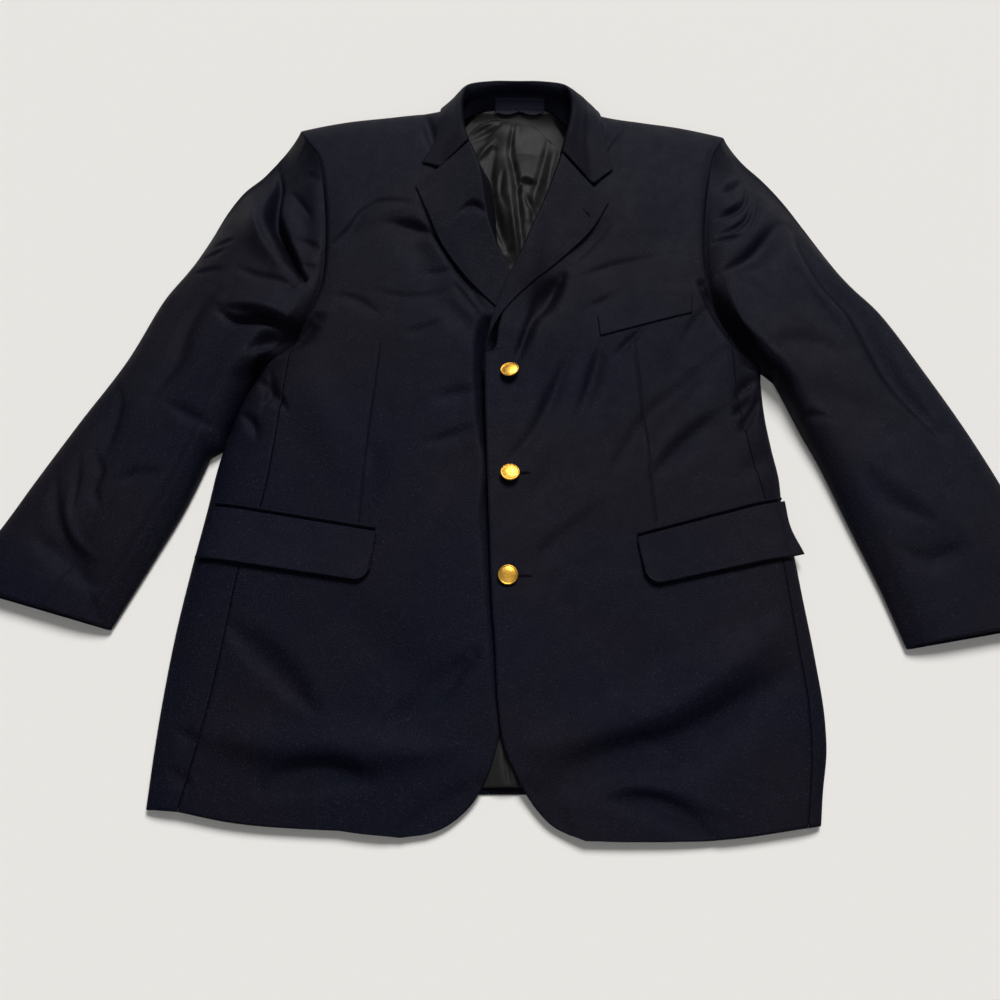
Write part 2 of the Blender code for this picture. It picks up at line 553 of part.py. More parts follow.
def side_panel(side, armhole, material):
    """A side panel, from the back seam underneath round the fold to the front seam."""
    sign = SIGN[side]
    hem_y = HEM[side][-1][1]
    front_seam = long_seam(side, FRONT_SEAM[side], hem_y, armhole.points[armhole.corner], -1)
    back_corner = armhole.points[armhole.back_corner]
    back_seam = long_seam(side, BACK_SEAM, BACK_SEAM_HEM, back_corner, -1)
    fold_y = np.linspace(SIDE_HEM[side], armhole.points[armhole.underarm][1], 40)
    fold = Curve(np.stack([sign * smooth(SIDE_EDGE[side], fold_y), fold_y], axis=-1))
    fold = fold.at(np.linspace(0, 1, SEAM_ROWS))
    arm, arm_normals = armhole.edge(armhole.corner, armhole.back_corner, -1)
    over = np.array([*SIDE_TOP, 0.0])[None, :, None]
    under = np.array(SIDE_UNDER)[None, :, None]
    plan = np.concatenate([
        fold[:, None] * (1 - over) + front_seam[:, None] * over,
        fold[:, None] * (1 - under) + back_seam[:, None] * under,
    ], axis=1)
    share = np.linspace(0, 1, SEAM_ROWS)[:, None, None]
    plan += share**5 * (arm[:, :2] - plan[-1])
    x, y = plan[..., 0], plan[..., 1]
    heights = np.where(np.arange(plan.shape[1]) < len(SIDE_TOP) + 1, body_top(x, y), body_under(x, y))
    heights[:, len(SIDE_TOP)] = FOLD_MID
    grid = with_height(plan, heights)
    grid[-1] = arm
    normals = grid_normals(grid, (sign, 0, 0))
    normals[-1] = arm_normals
    normals[:-1, 0] = surface_normals(body_top, x[:-1, 0], y[:-1, 0])
    normals[:, -1] = (0, 0, -1)
    return cloth(f"side_{side}", grid, WOOL, normals, material)


BACK_COLUMNS = (0.0, 0.09, 0.17, 0.215, 0.26, 0.33, 0.45, 0.63, 0.82, 1.0)


def back(side, armhole, material):
    """Half of the back, flat on the table and curled up to the neck and shoulder seams."""
    sign = SIGN[side]
    seam = long_seam(side, BACK_SEAM, BACK_SEAM_HEM, armhole.points[armhole.back_corner], 1)
    flat, _ = armhole.edge(armhole.back_corner, len(armhole.points), -1)
    curl, curl_normals = armhole.edge(0, armhole.shoulder, -1)
    outer = np.vstack([seam[:-1], flat[:, :2]])
    start_x = float(smooth(CENTRE_BACK, 500)) + sign * SEAM / 2
    y = np.linspace(float(back_hem(0)), float(shoulder_point(start_x, -90)[1]), len(outer))
    inner = np.stack([smooth(CENTRE_BACK, y) + sign * SEAM / 2, y], axis=-1)
    across = np.array(BACK_COLUMNS)[None, :, None]
    plan = inner[:, None] * (1 - across) + outer[:, None] * across
    share = np.linspace(0, 1, len(plan))[:, None]
    plan[:, :, 1] += (1 - share) ** 6 * (back_hem(plan[0, :, 0]) - plan[0, :, 1])
    bend = shoulder_point(plan[-1, :, 0], -90)[:, 1] - plan[-1, :, 1]
    plan[:, :, 1] += np.clip(share * 2.5 - 1.5, 0, 1) ** 2 * bend
    grid = with_height(plan, np.zeros(plan.shape[:2]))
    normals = np.zeros_like(grid)
    normals[..., 2] = -1
    rows, row_normals = [grid], [normals]
    for i, part in enumerate(CURL_SHARES[1:], 1):
        x = plan[-1, :, 0] + (curl[i, 0] - plan[-1, -1, 0]) * np.array(BACK_COLUMNS)
        ends = curl_angles(x)
        angles = -90 + (ends + 90) * part
        if part == 1:
            angles -= np.where(ends > 0, math.degrees(SEAM / SHOULDER_REACH), 0)
        row, normal = shoulder_point(x, angles), shoulder_normal(x, angles)
        if i < len(CURL_SHARES) - 1:
            row[-1], normal[-1] = curl[i], curl_normals[i]
        rows.append(row[None])
        row_normals.append(normal[None])
    return cloth(f"back_{side}", np.concatenate(rows), WOOL, np.concatenate(row_normals), material)


SLEEVE_ROWS = (
    0, 0.02, 0.045, 0.075, 0.105, 0.14, 0.175, 0.215, 0.255, 0.3, 0.35, 0.41, 0.48, 0.56, 0.65, 0.74, 0.83,
    0.92, 1,
)
ELBOW_REACH, INNER_REACH = 58.0, 50.0


def sleeve(side, armhole, material):
    """Upper and under sleeve: a flattened tube from the armhole's own points down to the cuff."""
    sign = SIGN[side]
    outer_fold = armhole.shoulder - 1  # the loop's place on the shoulder's outermost line
    count = len(armhole.points)
    loop, loop_normals = armhole.edge(outer_fold, outer_fold + count, 1)
    top_count = armhole.underarm - outer_fold
    over = (1 - np.cos(np.linspace(0, math.pi, top_count + 1))) / 2
    under = (1 - np.cos(np.linspace(math.pi, 0, count - top_count + 1))) / 2
    place = np.concatenate([over, under[1:]])
    outside, inside = out_curve(side, SLEEVE_OUTER[side]), out_curve(side, SLEEVE_INNER[side])
    t = np.array(SLEEVE_ROWS)
    o, i = outside.at(t), inside.at(t)
    o = o + (1 - np.clip(t / 0.06, 0, 1))[:, None] * (loop[0, :2] - o[0])
    i = i + (1 - np.clip(t / 0.06, 0, 1))[:, None] * (loop[top_count, :2] - i[0])
    straight = o[:, None] * (1 - place[None, :, None]) + i[:, None] * place[None, :, None]
    s = np.clip(t[:, None] / (CAP_BLEND * (1 - CAP_BLEND_LESS * place**4)), 0, 1)[..., None]
    plan = straight + (1 - s * s * (3 - 2 * s)) * (loop[:, :2] - straight[0])
    width = np.linalg.norm(o - i, axis=1)[:, None]
    from_outer, from_inner = place * width, (1 - place) * width
    form = rounding(from_outer, np.minimum(ELBOW_REACH, width / 2))
    form = form * rounding(from_inner, np.minimum(INNER_REACH, width / 2))
    folds = relief(FOLDS, plan[..., 0], plan[..., 1])
    top = FOLD_MID + (smooth(SLEEVE_LOFT, t)[:, None] - FOLD_MID + folds) * form
    bottom = FOLD_MID * (2 - rounding(from_outer, FOLD_TURN) - rounding(from_inner, FOLD_TURN))
    heights = np.where(np.arange(count + 1) <= top_count, top, bottom)
    near = (1 - np.clip(t / 0.1, 0, 1))[:, None] ** 2
    heights = heights * (1 - near) + loop[:, 2] * near
    grid = with_height(plan, heights)
    ring = np.concatenate([grid[:, -2:-1], grid, grid[:, 1:2]], axis=1)
    normals = grid_normals(ring, (0, 0, 1))[:, 1:-1]
    middle = normals[len(t) // 2, top_count // 2]
    normals = normals if middle[2] > 0 else -normals
    normals[0] = loop_normals
    outer_seam, inner_seam = count - 2, top_count + 3
    upper_index = np.concatenate([np.arange(outer_seam, count), np.arange(0, inner_seam + 1)])
    under_index = np.arange(inner_seam, outer_seam + 1)
    pieces = []
    for name, index in (("upper", upper_index), ("under", under_index)):
        part, part_normals = grid[:, index].copy(), normals[:, index]
        part[:, 0] += SEAM / 2 * unit(part[:, 1] - part[:, 0])
        part[:, -1] += SEAM / 2 * unit(part[:, -2] - part[:, -1])
        pieces.append(cloth(f"sleeve_{name}_{side}", part, WOOL, part_normals, material))
    return pieces


def lapel_grid(side):
    """The facing of a lapel: round the roll from inside and out over the front to the free edge."""
    share = np.linspace(0, 1, LAPEL_ROWS)
    roll, edge = Curve(LAPEL_ROLL[side]).at(share), Curve(LAPEL_EDGE[side]).at(share)
    width = np.linalg.norm(edge - roll, axis=1)
    across = unit(edge - roll)
    lift, foot = smooth(ROLL_LIFT, share), smooth(ROLL_FOOT, share)
    reach = np.minimum(smooth(ROLL_ROUND, share), width * 0.45)
    rest = LAY + FACING
    away, high = [], []
    for angle in (-90, -35, 0, 35, 65, 90):
        turn = math.radians(angle)
        middle = (lift + foot) / 2
        away.append(reach * (1 - math.cos(turn)) * (0 if angle == -90 else 1))
        high.append(foot if angle == -90 else middle + (lift - foot) / 2 * math.sin(turn))
    for part in LAPEL_COLUMNS:
        away.append(reach + (width - reach) * part)
        high.append(rest + (lift - rest) * (1 - part) ** 2)
    away, high = np.stack(away, axis=1), np.stack(high, axis=1)
    plan = roll[:, None] + across[:, None] * away[..., None]
    return with_height(plan, front_top(side, plan[..., 0], plan[..., 1]) + high)


def facing(side, material):
    grid = lapel_grid(side)
    return cloth(f"facing_{side}", grid, FACING, grid_normals(grid, (0, 0, 1)), material)


def collar_grid(rows):
    """Collar sections with more points, the two end ones straight from roll to notch to corner."""
    sections = []
    for number, section in enumerate(COLLAR):
        p = np.array(section, float)
        if number in (0, len(COLLAR) - 1):
            fall = [p[2] * (1 - t) + p[3] * t for t in (0, 0.35, 0.7, 1)] + [(p[3] + p[4]) / 2, p[4]]
            turn = Curve(p[:3]).at(np.array([0, 0.3, 0.55, 0.8]))
        else:
            whole = Curve(p)
            at = whole.share[:: Curve.STEPS]
            down = [at[2] + (at[3] - at[2]) * t for t in (0, 0.35, 0.7, 1)]
            fall = whole.at(np.array([*down, (at[3] + 1) / 2, 1]))
            turn = whole.at(np.array([0, at[1] * 0.6, at[1], (at[1] + at[2]) / 2]))
        sections.append(np.vstack([turn, fall]))
    sections = np.array(sections)
    along = np.linspace(0, 1, rows)
    grid = np.stack([Curve(sections[:, c]).at(along) for c in range(sections.shape[1])], axis=1)
    x, y = grid[:, 6:, 0], grid[:, 6:, 1]
    on_front = y < smooth(SHOULDER_OUT, x) - 14
    clear = np.where(on_front, body_top(x, y) + LAY + FACING + 0.3, 0)
    grid[:, 6:, 2] = np.maximum(grid[:, 6:, 2], clear)
    return grid


def collar(material):
    grid = collar_grid(29)
    return cloth("collar", grid, FACING, grid_normals(grid, (0, 0, 1)), material)


def collar_stand(material):
    top = Curve([section[0] for section in COLLAR])
    rows = np.linspace(0, 1, 15)
    upper = top.at(STAND_SPAN[0] + (STAND_SPAN[1] - STAND_SPAN[0]) * rows)
    foot = Curve(STAND_FOOT).at(rows)
    upper = upper + 2.2 * unit(foot - upper)
    grid = np.stack([foot, foot * 0.5 + upper * 0.5, upper], axis=1)
    return cloth("collar_stand", grid, FACING, grid_normals(grid, (0, -1, 0.6)), material)


def lining_top(x, y):
    base = body_under(x, y) * 1.12 + WOOL + LAY + LINING
    fade = 1 - np.clip((y - 492) / 16, 0, 1)
    return base + np.maximum(0, (0.8 + relief(LINING_FOLDS, x, y)) * fade)


def lining(material):
    """The back lining, where the neck opening and the gap between the front corners show it."""
    y = np.concatenate([LINING_ROWS[:-2], np.linspace(LINING_ROWS[-2], LINING_ROWS[-1], 17)])
    middle, half = smooth(CENTRE_BACK, y), smooth(LINING_HALF, y)
    across = np.linspace(-1, 1, 21)
    x = middle[:, None] + half[:, None] * across
    y = np.repeat(y[:, None], len(across), axis=1)
    grid = np.stack([x, y, lining_top(x, y)], axis=-1)
    return cloth("lining_back", grid, LINING, surface_normals(lining_top, x, y), material)


def label(material):
    """The neck label, on the collar stand, with its lower edge in two lobes over the lining's top."""
    across, down = np.linspace(0, 1, 13), np.linspace(0, 1, 6)
    x = LABEL_SIDES[0] + (LABEL_SIDES[1] - LABEL_SIDES[0]) * across
    end = 1 - LABEL_SCALLOP * (1 - np.abs(np.sin(2 * math.pi * across)))
    path = Curve(LABEL_PATH).at(end[:, None] * down)
    x = np.repeat(x[:, None], len(down), axis=1)
    y = path[..., 0] - ((x - NECK_CENTRE) / 24) ** 2
    grid = np.stack([x, y, path[..., 1]], axis=-1)
    return cloth("label", grid, 0.6, grid_normals(grid, (0, 0, 1)), material)


def on_body(side, x, y, lift):
    """Height over the body's top, held level beyond the rounding of the side fold."""
    edge = smooth(SIDE_EDGE[side], y) - 4
    x = np.clip(x, -edge, edge)
    return front_top(side, x, y) + lift


def flap(side, material):
    """A hip pocket flap, with a rounded lower front corner."""
    front_top_corner, front_foot, back_foot, back_top = np.array(FLAP[side], float)
    length = np.linalg.norm(back_top - front_top_corner)
    turn = FLAP_CORNER / length
    corner = turn * (1 - np.cos(np.radians([0, 25, 50, 75, 90])))
    columns = np.concatenate([corner, np.linspace(turn, 1, 12)[1:]])
    cut = FLAP_CORNER * (1 - np.sqrt(1 - (1 - np.clip(columns / turn, 0, 1)) ** 2))
    down = np.linspace(0, 1, 5)
    upper = front_top_corner + (back_top - front_top_corner) * columns[:, None]
    lower = front_foot + (back_foot - front_foot) * columns[:, None]
    depth = np.linalg.norm(lower - upper, axis=1)
    lower = upper + (lower - upper) * (1 - cut / depth)[:, None]
    plan = upper[:, None] + (lower - upper)[:, None] * down[None, :, None]
    plan[..., 0] -= SIGN[side] * FLAP_BOW[side] * columns[:, None] ** 8 * np.sin(math.pi * down) ** 1.5
    grid = with_height(plan, on_body(side, plan[..., 0], plan[..., 1], LAY + FLAP_CLOTH))
    return cloth(f"flap_{side}", grid, FLAP_CLOTH, grid_normals(grid, (0, 0, 1)), material)


def jet(side, material):
    """The piping along the pocket mouth over a flap."""
    start, _, _, end = np.array(FLAP[side], float)
    along = unit(end - start)
    up = np.array([-along[1], along[0]]) * (1 if along[0] > 0 else -1)
    line = start + (end - start) * np.linspace(0.005, 0.985, 13)[:, None]
    plan = line[:, None] + up * np.array([SEAM, SEAM + JET / 2, SEAM + JET])[None, :, None]
    grid = with_height(plan, on_body(side, plan[..., 0], plan[..., 1], LAY + FACING))
    return cloth(f"jet_{side}", grid, FACING, grid_normals(grid, (0, 0, 1)), material)


def chest_welt(material):
    a, b, c, d = np.array(CHEST_WELT, float)
    along, up = np.linspace(0, 1, 9)[:, None, None], np.linspace(0, 1, 4)[None, :, None]
    plan = (a * (1 - along) + b * along) * (1 - up) + (d * (1 - along) + c * along) * up
    grid = with_height(plan, front_top("left", plan[..., 0], plan[..., 1]) + LAY + FLAP_CLOTH)
    return cloth("chest_welt", grid, FLAP_CLOTH, grid_normals(grid, (0, 0, 1)), material)


def button(number, x, y, lean, tip, material):
    """A domed button turned from its profile, on a shank."""
    radii, heights = np.array(BUTTON_PROFILE).T
    turn = np.linspace(0, 2 * math.pi, BUTTON_SEGMENTS, endpoint=False)
    rings = radii[1:-1]
    points = [(0, 0, heights[0])]
    for radius, height in zip(rings, heights[1:-1]):
        points += [(radius * math.cos(a), radius * math.sin(a), height) for a in turn]
    points.append((0, 0, heights[-1]))
    faces = []
    for i in range(BUTTON_SEGMENTS):
        j = (i + 1) % BUTTON_SEGMENTS
        faces.append((0, 1 + j, 1 + i))
        for ring in range(len(rings) - 1):
            low, high = 1 + ring * BUTTON_SEGMENTS, 1 + (ring + 1) * BUTTON_SEGMENTS
            faces.append((low + i, low + j, high + j, high + i))
        last = 1 + (len(rings) - 1) * BUTTON_SEGMENTS
        faces.append((last + i, last + j, len(points) - 1))
    mesh = bpy.data.meshes.new(f"button_{number}")
    mesh.from_pydata([(a * MM, b * MM, c * MM) for a, b, c in points], [], faces)
    mesh.materials.append(material)
    mesh.shade_smooth()
    obj = bpy.data.objects.new(f"button_{number}", mesh)
    base = float(front_top("left", np.array(x), np.array(y))) + 1.3
    obj.location = ((x - MIDDLE[0]) * MM, (y - MIDDLE[1]) * MM, base * MM)
    obj.rotation_euler = (math.radians(-lean), math.radians(-tip), 0)
    bpy.context.scene.collection.objects.link(obj)
    return obj


def make_materials():
    made = {}
    for name, (colour, roughness, metallic) in MATERIALS.items():
        material = bpy.data.materials.new(name)
        material.use_nodes = True
        shader = material.node_tree.nodes["Principled BSDF"]
        shader.inputs["Base Color"].default_value = (*colour, 1)
        shader.inputs["Roughness"].default_value = roughness
        shader.inputs["Metallic"].default_value = metallic
        made[name] = material
    return made


def build():
    materials = make_materials()
    wool, satin = materials["navy_wool"], materials["black_lining"]
    for side in SIGN:
        armhole = Armhole(side)
        front(side, armhole, wool)
        side_panel(side, armhole, wool)
        back(side, armhole, wool)
        sleeve(side, armhole, wool)
        facing(side, wool)
        flap(side, wool)
        jet(side, wool)
    collar(wool)
    collar_stand(wool)
    chest_welt(wool)
    lining(satin)
    label(materials["label_satin"])
    for number, (x, y, lean, tip) in enumerate(BUTTONS, 1):
        button(number, x, y, lean, tip, materials["gold"])


for old in list(bpy.data.objects):
    bpy.data.objects.remove(old)
build()
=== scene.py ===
"""The looks of a navy blazer laid flat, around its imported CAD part.

The panels come from the same sizes and sections as the CAD solids, on finer grids and with the
cloth's smaller creases. Right and left are the wearer's, as in the CAD. Lengths are millimetres,
with heights over the table, and in_frame() turns them into metres in the part's frame.
"""

import math

import bpy
import numpy as np
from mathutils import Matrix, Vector


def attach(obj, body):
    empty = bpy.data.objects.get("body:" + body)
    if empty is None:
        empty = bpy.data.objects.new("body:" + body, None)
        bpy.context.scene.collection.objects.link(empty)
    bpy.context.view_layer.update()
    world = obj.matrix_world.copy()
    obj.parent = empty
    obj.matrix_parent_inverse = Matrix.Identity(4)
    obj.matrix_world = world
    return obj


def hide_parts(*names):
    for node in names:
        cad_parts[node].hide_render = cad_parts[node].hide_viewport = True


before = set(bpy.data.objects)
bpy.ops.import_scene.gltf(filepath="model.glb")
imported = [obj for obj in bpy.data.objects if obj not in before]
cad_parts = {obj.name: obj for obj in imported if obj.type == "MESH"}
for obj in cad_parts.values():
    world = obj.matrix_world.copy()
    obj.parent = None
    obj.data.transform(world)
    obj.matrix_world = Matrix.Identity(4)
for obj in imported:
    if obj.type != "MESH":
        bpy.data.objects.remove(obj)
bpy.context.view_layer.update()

MM = 0.001
MIDDLE = (8.0, 106.5)  # centre of the whole garment's outline, which becomes the origin

WOOL = 1.6  # shell cloth with its interlining
FACING = 1.3  # turned lapel and collar cloth
LINING = 1.0
LABEL_CLOTH = 0.6
SEAM = 0.12  # gap between two pieces that are sewn together
RIM_ROUND = 0.35  # share of a wall's thickness by which its rim is rounded
LAY = 0.7  # gap under a piece that lies on another

SIGN = {"right": -1, "left": 1}


def finer(shares, parts):
    """A list of shares with each of its steps split into parts."""
    count = len(shares)
    return np.interp(np.linspace(0, count - 1, (count - 1) * parts + 1), range(count), shares)


LOFT = (  # y, height of the top face down the middle of each front
    (-345, 8), (-250, 10), (-100, 13.5), (0, 16.5), (100, 20.5), (200, 26), (300, 31), (400, 36.5),
    (450, 38), (530, 38),
)
FOLD_MID = 4.0  # height of the outermost line of a side or sleeve fold
FOLD_TURN = 6.0  # how far in the cloth has turned flat under a fold
FOLD_REACH = ((-345, 26), (-100, 36), (60, 46), (160, 56), (260, 60))  # y, width of the rounding
SHOULDER_MID, SHOULDER_REACH, SHOULDER_TURN = 14.0, 45.0, 30.0  # those of the folds, over the shoulders
SHOULDER_FROM, SHOULDER_Y = 300, 470  # y above which they round the body, and about where they lie
SHOULDER_SEAM_ANGLE = 20.0  # degrees above the outermost line at which the shoulder seam runs
NECK_EDGE_ANGLE = -40.0  # the same for the back neck seam
NECK_CENTRE, NECK_HALF, NECK_SPREAD = 20.0, 46.0, 28.0  # x, half width, and of the turn to the shoulders
CURL_SHARES = finer((0.0, 0.41, 0.64, 0.82, 1.0), 6)  # rows of the back's curl

SEAM_ROWS = 150  # points on the long seams, which both of their pieces share
ARMHOLE_ROWS = 110  # points on the front's part of the armhole
ARMHOLE_BACK_ROWS = 50  # and on the back's flat part
SEAM_POINTS = 40  # of the curve that a long seam or side fold is drawn through
SEAM_BEND = -20  # y from which a seam bends towards its end on the armhole
SIDE_FADE = 5  # power with which the side panel's shape turns into the armhole's
SIDE_TOP = finer((1.0, 0.6, 0.32, 0.13, 0.03, 0.0), 6)[:-1]  # side panel, from the front seam to its fold
SIDE_UNDER = finer((0.0, 0.03, 0.15, 0.5, 1.0), 6)[1:]  # and on to the back seam
FRONT_LOW_ROWS, FRONT_COLUMNS = 165, 100  # rows of a front below the lapel's break
FRONT_CROWD = 1.5  # power with which they crowd towards the hem
HEM_FADE = 6  # power with which the hem's line fades out up a front or the back
BACK_NECK_Y = 500
BACK_COLUMNS = finer((0.0, 0.09, 0.17, 0.215, 0.26, 0.33, 0.45, 0.63, 0.82, 1.0), 7)
BACK_HEM_Y = -296.5  # in the middle of the back
BACK_HEM_DROP, BACK_HEM_HALF = 13.5, 320  # how much lower it is, and how far out

SIDE_EDGE = {  # y, distance out from x = 0 of the side fold
    "right": (
        (-345, 320), (-310, 319.5), (-257, 319), (-200, 317), (-141, 313), (-78, 306), (-13, 297.5),
        (38, 291.5), (75, 284), (116, 272.5), (150, 259), (200, 275), (300, 330), (540, 400),
    ),
    "left": (
        (-345, 284), (-325, 288), (-297, 293), (-257, 301.5), (-229, 303.5), (-171, 301.5), (-110, 297),
        (-46, 292), (-13, 287.5), (21, 287.5), (56, 283.5), (92, 280.5), (116, 280), (150, 282),
        (200, 300), (300, 345), (540, 420),
    ),
}
FRONT_SEAM = {  # y, distance out of the seam between front and side panel
    "right": (
        (-345, 295), (-312, 290), (-229, 275), (-152, 265), (-85, 258), (-14, 242), (110, 230), (200, 224),
    ),
    "left": (
        (-345, 272), (-325, 276), (-257, 287), (-210, 289), (-161, 286), (-110, 283), (-80, 281), (-8, 270),
        (52, 259), (110, 253), (200, 254),
    ),
}
BACK_SEAM = ((-345, 205), (-100, 195), (20, 190), (150, 205), (240, 212))  # y, distance out, underneath
SIDE_HEM = {"right": -310.5, "left": -325.0}  # y of the hem at the side folds
CENTRE_BACK = ((-345, -12), (-100, -4), (100, 2), (300, 10), (450, 17), (540, 20))  # y, x

SHOULDER_OUT = (  # x, y of the outermost line over shoulders and back neck
    (-260, 470), (-240, 477), (-192, 490), (-119, 501), (-75, 508), (-45, 519), (-10, 527), (20, 529),
    (50, 527), (85, 517), (122, 501), (170, 491), (213, 483), (250, 473), (275, 465),
)
ARMHOLE_FRONT = {  # from the shoulder seam down to the underarm: out, y
    "right": (
        (237, 469), (225, 445), (211, 422), (202, 374), (197, 320), (196, 282), (198, 251), (206, 220),
        (216, 198), (228, 179), (243, 162), (259, 150),
    ),
    "left": (
        (265, 459), (256, 440), (248, 422), (240, 387), (234, 347), (230, 308), (229, 276), (232, 246),
        (240, 216), (252, 191), (266, 166), (282, 150),
    ),
}
ARMHOLE_BACK = {  # the same, underneath
    "right": (
        (243, 448), (224, 428), (212, 390), (206, 330), (206, 260), (214, 205), (236, 166), (259, 150),
    ),
    "left": (
        (266, 440), (250, 420), (240, 385), (234, 330), (232, 262), (240, 205), (260, 166), (282, 150),
    ),
}
ARMHOLE_INSET = 0.8  # from its edge in to where the body's normals are taken
UNDERARM_OVER, UNDERARM_BELOW = (1, 0, 0.15), (0.9, 0, -0.6)  # normals there: out, y, z
APART_UP = 0.3  # weight of y beside x in telling the sleeve's side of the seam from the body's
FRONT_SEAM_TOP = {"right": 0.865, "left": 0.83}  # share of the front armhole where that seam ends
BACK_SEAM_TOP = {"right": 0.74, "left": 0.74}

HEM = {  # from the front corner to the side seam: out, y
    "right": ((89, -335), (178, -331), (258, -323.5), (291, -313)),
    "left": ((76, -338), (133, -339), (219, -337), (277, -327)),
}
FRONT_EDGE = {  # from the hem up round the cutaway to where the lapel breaks: x, y
    "right": (
        (-89, -335), (-62, -331), (-46, -324), (-30, -311), (-20, -298), (-9, -275), (0, -244), (12, -205),
        (20, -150), (22, -60), (22, 60), (22, 150), (21, 184),
    ),
    "left": (
        (76, -338), (58, -331), (45.6, -324), (33, -311), (24, -298), (12, -276), (2.8, -253), (-2.8, -211),
        (-5, -163), (-8.4, -113), (-10.4, -60), (-13.2, 20), (-15.8, 100), (-16.4, 140), (-16.2, 161),
    ),
}
LAPEL_ROLL = {  # from the break up to the gorge: x, y
    "right": (
        (21, 189), (19, 212), (16, 236), (12, 258), (8, 275), (0, 292), (-7, 314), (-13, 338), (-17, 370),
        (-21, 399), (-28, 424), (-34, 440),
    ),
    "left": (
        (-15.9, 165), (-10.2, 194), (-3, 219), (4, 241), (12, 262), (23, 286), (36, 323), (50, 360),
        (60, 390), (70, 422),
    ),
}
LAPEL_EDGE = {  # the lapel's free edge beside it, ending at the lapel point: x, y
    "right": ((18, 189), (-4, 219), (-19, 235), (-40, 261), (-66, 303), (-83, 345), (-97, 379)),
    "left": (
        (-15.3, 164.5), (-10.6, 182), (-1, 203), (17, 228), (50, 264), (80, 293), (104, 321), (124, 356),
    ),
}
ROLL_LIFT = ((0, 2.2), (0.3, 3.0), (0.5, 5.5), (0.8, 7.8), (1, 9))  # share of the roll, height
ROLL_FOOT = ((0, 0.4), (0.35, 0.0), (0.6, -3.0), (1, -3.5))  # the same for the start of the facing
ROLL_ROUND = ((0, 1.8), (0.4, 3.0), (1, 5.0))  # the same, how far in the roll is rounded
ROLL_MOST = 0.45  # and the largest share of the lapel's width for that
ROLL_HANG = {  # share of the roll, how far the facing's margin hangs in from it over the lining
    "right": ((0.30, 0), (0.38, 3), (0.5, 6), (0.62, 13), (0.85, 14), (1, 8)),
    "left": ((0.36, 0), (0.45, 3.5), (0.8, 4), (1, 3)),
}
HANG_COLUMNS = np.linspace(1, 0, 9)[:-1]  # shares of that margin
HANG_FULL = 6  # its width from which it reaches down to the lining
ROLL_ANGLES = np.linspace(-90, 90, 22)
LAPEL_ROWS = 104
LAPEL_COLUMNS = np.linspace(0, 1, 37)[1:]  # shares of the way from the roll to the edge
LAPEL_DENT_FROM = 12  # distance from the roll at which its dents have their full depth
FRONT_INSET = 9.0  # from the roll line back to the front's own edge
FRONT_NECK = {  # and that edge on from there to the shoulder seam
    "right": ((-53, 462), (-59, 484), (-58, 502)),
    "left": ((92, 450), (99, 478), (99, 500)),
}

# Collar sections from the right gorge round the neck to the left one. Each point is x, y, z.
COLLAR = (  # seam to the stand, inside of the roll, top of the roll, middle of the fall, free edge
    ((-45, 438, 33.5), (-34, 441.5, 37.5), (-38, 438.3, 47.0), (-69.2, 406.0, 40.0), (-90.3, 412.6, 39.0)),
    ((-50, 458, 33.5), (-40, 459, 38.5), (-44, 458, 48.5), (-60, 450, 46.0), (-77, 441, 41.5)),
    ((-51, 484, 30.0), (-43, 485, 36.5), (-47, 486, 47.0), (-60, 484, 46.0), (-72, 480, 42.0)),
    ((-46, 508, 24.0), (-43, 508, 34.0), (-45, 512, 43.5), (-57, 516, 33.0), (-68, 517, 19.5)),
    ((-34, 523, 22.5), (-36, 527, 31.5), (-38, 535, 37.0), (-45, 541, 20.0), (-46, 535, 5.0)),
    ((-8, 531, 24.5), (-9, 535, 32.0), (-10, 541.5, 36.0), (-11, 551, 19.0), (-9, 539, 2.0)),
    ((20, 533, 25.0), (20, 537, 32.5), (20, 541.5, 36.0), (20, 552, 19.0), (20, 540, 2.0)),
    ((48, 531, 24.5), (50, 535, 32.0), (51, 541, 36.0), (52, 551, 19.0), (50, 539, 2.0)),
    ((75, 523, 22.5), (77, 526, 31.5), (77, 535, 37.0), (86, 541, 20.0), (89, 535, 5.0)),
    ((86, 507, 24.0), (83, 507, 34.0), (86, 512, 43.5), (102, 516, 33.0), (115, 513, 19.5)),
    ((90, 478, 30.0), (82, 479, 36.5), (86, 481, 47.0), (105, 476, 46.0), (121, 470, 42.0)),
    ((86, 448, 33.5), (76, 450, 38.5), (80, 449, 48.5), (103, 441, 46.0), (125, 430, 41.5)),
    ((80, 420.5, 33.5), (69, 423.5, 37.5), (74, 420.3, 47.0), (106.2, 381.0, 40.0), (130.4, 401.8, 39.0)),
)
STAND_FOOT = (  # neck seam under the collar sections between the two shoulders
    (-54, 476, 27), (-51, 488, 20), (-45, 499, 15), (-34, 510, 11), (-20, 518, 9.5), (-2, 521.5, 9),
    (20, 522.5, 9), (42, 521.8, 9), (57, 519, 9.5), (68, 509, 11), (77, 494, 14), (86, 478, 21),
    (94, 466, 28),
)
COLLAR_ROWS, COLLAR_PARTS = 150, 5  # rows round the neck, and steps between two of a section's points
COLLAR_TURN, COLLAR_FALL = (0, 0.3, 0.55, 0.8), (0, 0.35, 0.7, 1)  # shares of its two stretches at the ends
COLLAR_FIRST = 6  # number of the first point that is held clear of the front
COLLAR_BACK, COLLAR_CLEAR = 14, 0.3  # from the shoulder to where that ends, and by how much it is clear
STAND_ROWS, STAND_COLUMNS = 80, 12
STAND_BEHIND, STAND_UP = 1.7, 1.5  # how far its top passes behind the collar, and up
STAND_SPAN = (0.13, 0.87)  # share of the collar that has a stand below it

